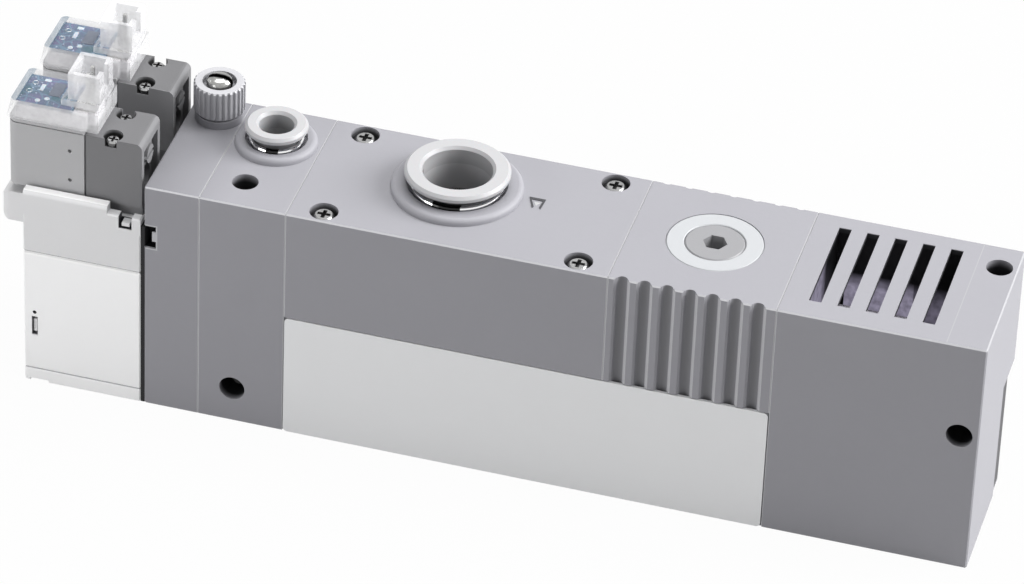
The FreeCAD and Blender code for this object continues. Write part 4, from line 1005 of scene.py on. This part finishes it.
@dataclass
class BlockStack:
    """The grey blocks, their plate, screws, plug and silencer."""

    mark_from_joint: float = 39.3 * MM
    mark_from_front: float = 16.8 * MM
    mark_back: float = 2.9 * MM
    mark_front: float = 1.5 * MM
    mark_depth: float = 3.0 * MM
    mark_bar: float = 0.62 * MM
    mark_leg: float = 0.36 * MM
    mark_lean: float = 0.5 * MM
    mark_height: float = 0.1 * MM
    mark_open_from: float = 0.9 * MM
    mark_open_half: float = 0.54 * MM
    arrow_radius: float = 0.7 * MM
    arrow_shift: float = 0.2 * MM
    arrow_height: float = 0.06 * MM
    arrow_round: float = 0.03 * MM

    def dress(self) -> None:
        """Gives the stack's nodes their finishes."""
        finishes = {
            Finish.BODY: ("adapter_block", "port_block", "ejector_block", "bottom_cover", "filter_case",
                          "exhaust_block"),
            Finish.RUBBER: ("port_gasket", "ejector_gasket", "bottom_gasket", "check_valve", "needle_seal",
                            "vacuum_tube_seal", "supply_tube_seal"),
            Finish.STEEL: ("tie_screws", "vacuum_collet", "supply_collet"),
            Finish.NEEDLE: ("needle_screw",),
            Finish.COVER_SCREW: ("cover_screws",),
            Finish.CHROME: ("vacuum_guide_ring", "supply_guide_ring"),
            Finish.RING: ("vacuum_release_ring", "supply_release_ring"),
            Finish.PLUG_RING: ("plug_ring",),
            Finish.PLATE: ("nameplate",),
            Finish.BRASS: ("ejector_nozzle", "first_diffuser", "second_diffuser"),
            Finish.POROUS: ("filter_element",),
            Finish.FELT: ("silencer_element",),
            Finish.KNOB: ("adjusting_knob",),
            Finish.PLUG: ("filter_plug",),
        }
        for finish, nodes in finishes.items():
            for node in nodes:
                dress(node, finish)

    def build_mark_frame(self, middle: Vector) -> None:
        """Models the mark's bar with its two tapering legs, open to the front.

        Args:
            middle: middle of the mark on the deck.
        """
        mark = Piece("port_mark_frame", bpy.ops.mesh.primitive_plane_add, size=1.0, location=middle)
        for vertex in mark.object.data.vertices:
            back = vertex.co.y > middle.y
            side = 0.5 if vertex.co.x > middle.x else -0.5
            width, shift = (self.mark_back, 0.0) if back else (self.mark_front, self.mark_lean)
            vertex.co.x = middle.x + side * width + shift
            vertex.co.y = middle.y + (0.5 if back else -0.5) * self.mark_depth
        mark.inset(facing((0, 0, 1)), self.mark_leg)
        half = self.mark_depth / 2.0
        for vertex in mark.object.data.vertices:
            if self.mark_leg * 0.5 < middle.y + half - vertex.co.y < half:
                vertex.co.y -= self.mark_bar - self.mark_leg

        def inside(face: bmesh.types.BMFace) -> bool:
            """Faces between the legs and in front of them."""
            centre = face.calc_center_median() - middle
            across = abs(centre.x - self.mark_lean / 2.0)
            return centre.y < self.mark_open_from and across < self.mark_open_half

        with editing(mark.object, inside):
            bpy.ops.mesh.delete(type="FACE")
        mark.extrude(facing((0, 0, 1)), (0.0, 0.0, self.mark_height))
        mark.smooth().finish("body", "pilot_dark", Finish.PRINT)

    def build_port_mark(self) -> None:
        """Models the small port mark: its frame and a pale arrowhead inside."""
        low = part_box("ejector_block")[0]
        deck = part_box("filter_case")[1].z
        middle = Vector((low.x + self.mark_from_joint, low.y + self.mark_from_front, deck))
        self.build_mark_frame(middle)
        arrow = Piece(
            "port_mark_arrow",
            bpy.ops.mesh.primitive_cylinder_add,
            vertices=3,
            radius=self.arrow_radius,
            depth=self.arrow_height,
            location=middle + Vector((self.arrow_shift, 0.0, self.arrow_height / 2.0)),
            rotation=(0.0, 0.0, math.pi),
        )
        arrow.bevel(self.arrow_round, 1).finish("body", "ring_white", Finish.RING)

    def build(self) -> None:
        """Dresses the stack and adds its mark."""
        self.dress()
        self.build_port_mark()


@dataclass
class PilotValve:
    """One pilot valve: coil, button, clear connector cover and what lies on its board."""

    name: str
    part_height: float = 0.2 * MM
    block_rim: float = 0.12 * MM
    block_sink: float = 0.03 * MM
    block_round: float = 0.04 * MM
    lamp_radius: float = 0.48 * MM
    lamp_round: float = 0.08 * MM
    lamps: tuple[Span, ...] = ((3.1, 0.9), (4.5, 1.8))
    parts: tuple[tuple[str, Span, Span, Finish], ...] = (
        ("long_part", (2.7, 4.8), (0.7, 1.9), Finish.LAMP),
        ("small_part", (2.9, 7.1), (1.1, 0.7), Finish.LAMP),
        ("chip", (5.4, 4.9), (2.1, 4.0), Finish.CHIP),
    )
    rings: tuple[Span, ...] = ((1.0, 6.0), (0.75, 3.4))
    ring_radius: float = 0.5 * MM
    ring_wire: float = 0.1 * MM
    rim_left: float = 0.45 * MM
    rim_front: float = 0.15 * MM
    rim_back: float = 0.3 * MM
    film_height: float = 0.08 * MM
    film_round: float = 0.02 * MM

    def dress(self) -> None:
        """Gives the pilot's nodes their finishes."""
        finishes = {
            Finish.PILOT: ("pilot_body", "override_button"),
            Finish.COIL: ("coil_housing",),
            Finish.BOARD: ("circuit_board",),
            Finish.CLEAR: ("pilot_cover",),
            Finish.COPPER: ("coil",),
            Finish.STEEL: ("pin_header", "armature", "armature_spring", "spool", "spring"),
        }
        for finish, parts in finishes.items():
            for part in parts:
                dress(f"{self.name}_{part}", finish)

    def on_board(self, spot: Span, height: float) -> Vector:
        """Middle of a part that stands on the board; its spot is millimetres from the front left corner."""
        low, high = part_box(f"{self.name}_circuit_board")
        return Vector((low.x + spot[0] * MM, low.y + spot[1] * MM, high.z + height / 2.0))

    def apart(self, spots: tuple[Span, ...]) -> Vector:
        """Way from the first to the second of two spots on the board, in metres."""
        return self.on_board(spots[1], 0.0) - self.on_board(spots[0], 0.0)

    def build_block(self, part: str, spot: Span, size: Span, finish: Finish) -> Piece:
        """Models one flat part with a stepped, rounded top.

        Args:
            part: its name.
            spot: its place on the board, in millimetres.
            size: its width and depth, in millimetres.
            finish: its finish.

        Returns:
            The part.
        """
        middle = self.on_board(spot, self.part_height)
        chip = block(f"{self.name}_{part}", middle, (size[0] * MM, size[1] * MM, self.part_height))
        chip.inset(facing((0, 0, 1)), self.block_rim, -self.block_sink).bevel(self.block_round)
        return chip.finish("body", "pilot_dark" if finish is Finish.CHIP else "ring_white", finish)

    def build_film(self) -> Piece:
        """Models the coated sheet on the board, which reaches almost to the cover's walls."""
        low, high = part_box(f"{self.name}_circuit_board")
        left, front, back = low.x - self.rim_left, low.y - self.rim_front, high.y + self.rim_back
        middle = Vector((left + high.x, front + back, 2.0 * high.z + self.film_height)) / 2.0
        film = block(f"{self.name}_board_film", middle, (high.x - left, back - front, self.film_height))
        return film.bevel(self.film_round, 1).finish("body", "pilot_dark", Finish.BOARD)

    def build_lamp(self) -> Piece:
        """Models the first lamp on the board."""
        lamp = Piece(
            f"{self.name}_lamp_1",
            bpy.ops.mesh.primitive_cylinder_add,
            vertices=24,
            radius=self.lamp_radius,
            depth=self.part_height,
            location=self.on_board(self.lamps[0], self.part_height),
        )
        return lamp.bevel(self.lamp_round, 3).smooth(1.0).finish("body", "ring_white", Finish.LAMP)

    def build_solder_ring(self) -> Piece:
        """Models the first solder ring on the board."""
        ring = Piece(
            f"{self.name}_solder_ring_1",
            bpy.ops.mesh.primitive_torus_add,
            major_radius=self.ring_radius,
            minor_radius=self.ring_wire,
            major_segments=28,
            minor_segments=8,
            location=self.on_board(self.rings[0], 0.0),
        )
        return ring.smooth(1.2).finish("body", "plate_silver", Finish.STEEL)

    def build(self) -> list[Piece]:
        """Dresses the pilot valve and fills its board.

        Returns:
            The pieces on the board.
        """
        self.dress()
        pieces = [self.build_film(), self.build_lamp()]
        pieces.append(pieces[-1].copy(f"{self.name}_lamp_2", self.apart(self.lamps)))
        pieces += [self.build_block(*part) for part in self.parts]
        pieces.append(self.build_solder_ring())
        pieces.append(pieces[-1].copy(f"{self.name}_solder_ring_2", self.apart(self.rings)))
        return pieces

    def build_like(self, other: "PilotValve", pieces: list[Piece]) -> None:
        """Dresses the pilot valve and copies another one's board.

        Args:
            other: the finished pilot valve.
            pieces: the pieces on its board.
        """
        self.dress()
        move = self.on_board(self.lamps[0], 0.0) - other.on_board(other.lamps[0], 0.0)
        for piece in pieces:
            piece.copy(piece.object.name.replace(other.name, self.name), move)


@dataclass
class ValveUnit:
    """White valve unit at the left end, with its gasket, screws and pilots."""

    clip_middle: Place = (-20.05, 0.85, 11.9)
    clip_size: Place = (0.62, 0.9, 2.6)
    clip_rim: float = 0.14 * MM
    clip_sink: float = 0.12 * MM
    clip_round: float = 0.05 * MM

    def build_clip(self) -> None:
        """Models the small pale clip in the side window."""
        middle = CORNER + Vector(self.clip_middle) * MM
        clip = block("side_clip", middle, tuple(part * MM for part in self.clip_size))
        clip.inset(facing((0, -1, 0)), self.clip_rim, -self.clip_sink).bevel(self.clip_round)
        clip.finish("body", "valve_white", Finish.VALVE_HEAD)

    def build(self) -> None:
        """Dresses the valve unit and builds both pilots."""
        dress("valve_gasket", Finish.RUBBER)
        dress("valve_base_plate", Finish.VALVE_BASE)
        dress("valve_housing", Finish.VALVE)
        dress("valve_head", Finish.VALVE_HEAD)
        for node in ("stack_screws", "valve_screws"):
            dress(node, Finish.STEEL)
        dress("pilot_screws", Finish.PILOT_SCREW)
        self.build_clip()
        supply = PilotValve("supply")
        PilotValve("release").build_like(supply, supply.build())


# Studio


@dataclass(frozen=True)
class Lamp:
    """One soft rectangular lamp."""

    name: str
    place: Place
    width: float
    height: float
    power: float
    target: Place = (0.0, 0.0, 0.02)

    def build(self) -> None:
        """Adds the lamp."""
        data = bpy.data.lights.new(self.name, "AREA")
        data.shape = "RECTANGLE"
        data.size = self.width
        data.size_y = self.height
        data.energy = self.power
        lamp = bpy.data.objects.new(self.name, data)
        lamp.location = self.place
        lamp.rotation_euler = (Vector(self.target) - Vector(self.place)).to_track_quat("-Z", "Y").to_euler()
        bpy.context.scene.collection.objects.link(lamp)


@dataclass(frozen=True)
class Studio:
    """Pale floor, soft lamps, white surroundings and the camera."""

    azimuth: float = math.radians(14.46)
    elevation: float = math.radians(35.97)
    roll: float = math.radians(2.48)
    lens: float = 220.69
    sensor: float = 36.0
    clip: Span = (0.05, 20.0)
    station: Place = (0.2059, -0.8450, 0.6612)
    ambient: float = 0.29
    floor_size: float = 6.0
    floor_drop: float = 0.05 * MM
    floor_show: float = 0.97
    paper: Colour = (0.42, 0.42, 0.42)
    white: Colour = (1.0, 1.0, 1.0)
    lamps: tuple[Lamp, ...] = (
        Lamp("key", (1.25, 0.3, 0.72), width=0.9, height=0.9, power=34.0),
        Lamp("overhead", (0.1, 0.25, 1.5), width=1.4, height=1.0, power=19.8),
        Lamp("fill", (-0.35, -0.35, 0.15), width=0.3, height=0.3, power=1.0, target=(-0.06, 0.0, 0.02)),
    )

    def build_world(self) -> None:
        """White to the camera and in reflections, dimmer as a light."""
        world = bpy.data.worlds.new("Surroundings")
        bpy.context.scene.world = world
        world.use_nodes = True
        graph = Graph(world.node_tree)
        strength = graph.seen() * (1.0 - self.ambient) + self.ambient
        inputs = {"Color": (*self.white, 1.0), "Strength": strength}
        background = graph.add("ShaderNodeBackground", inputs=inputs)
        graph.add("ShaderNodeOutputWorld", inputs={"Surface": background})

    def build_floor(self) -> None:
        """White floor that keeps the object's shadow."""
        floor = Piece("floor", bpy.ops.mesh.primitive_grid_add, x_subdivisions=2, y_subdivisions=2,
                      size=self.floor_size, location=(0.0, 0.0, -self.floor_drop))
        material, graph = new_material("Studio floor")
        paper = graph.add("ShaderNodeBsdfDiffuse", inputs={"Color": (*self.paper, 1.0)})
        white = graph.add("ShaderNodeEmission", inputs={"Color": (*self.white, 1.0), "Strength": 1.0})
        share = graph.seen() * self.floor_show
        shader = graph.add("ShaderNodeMixShader", inputs={0: share, 1: paper, 2: white})
        graph.add("ShaderNodeOutputMaterial", inputs={"Surface": shader})
        floor.object.data.materials.append(material)

    def build_camera(self) -> None:
        """Camera at the photograph's viewing angle."""
        across, up = math.cos(self.elevation), math.sin(self.elevation)
        look = Vector((-math.sin(self.azimuth) * across, math.cos(self.azimuth) * across, -up))
        level = Vector((math.cos(self.azimuth), math.sin(self.azimuth), 0.0))
        above = level.cross(look)
        right = level * math.cos(self.roll) + above * math.sin(self.roll)
        top = above * math.cos(self.roll) - level * math.sin(self.roll)
        data = bpy.data.cameras.new("camera")
        data.lens = self.lens
        data.sensor_width = self.sensor
        data.clip_start, data.clip_end = self.clip
        camera = bpy.data.objects.new("camera", data)
        turn = Matrix((right, top, -look)).transposed()
        camera.matrix_world = Matrix.Translation(self.station) @ turn.to_4x4()
        bpy.context.scene.collection.objects.link(camera)
        bpy.context.scene.camera = camera

    def build(self) -> None:
        """Builds the whole studio."""
        bpy.context.scene.view_settings.view_transform = "Standard"
        self.build_world()
        self.build_floor()
        for lamp in self.lamps:
            lamp.build()
        self.build_camera()


def main() -> None:
    """Builds the object and its studio in order."""
    logging.basicConfig(level=logging.INFO, format="%(name)s: %(message)s")
    Studio().build()
    BlockStack().build()
    ValveUnit().build()
    log.info("object complete")


if __name__ == "__main__":
    main()
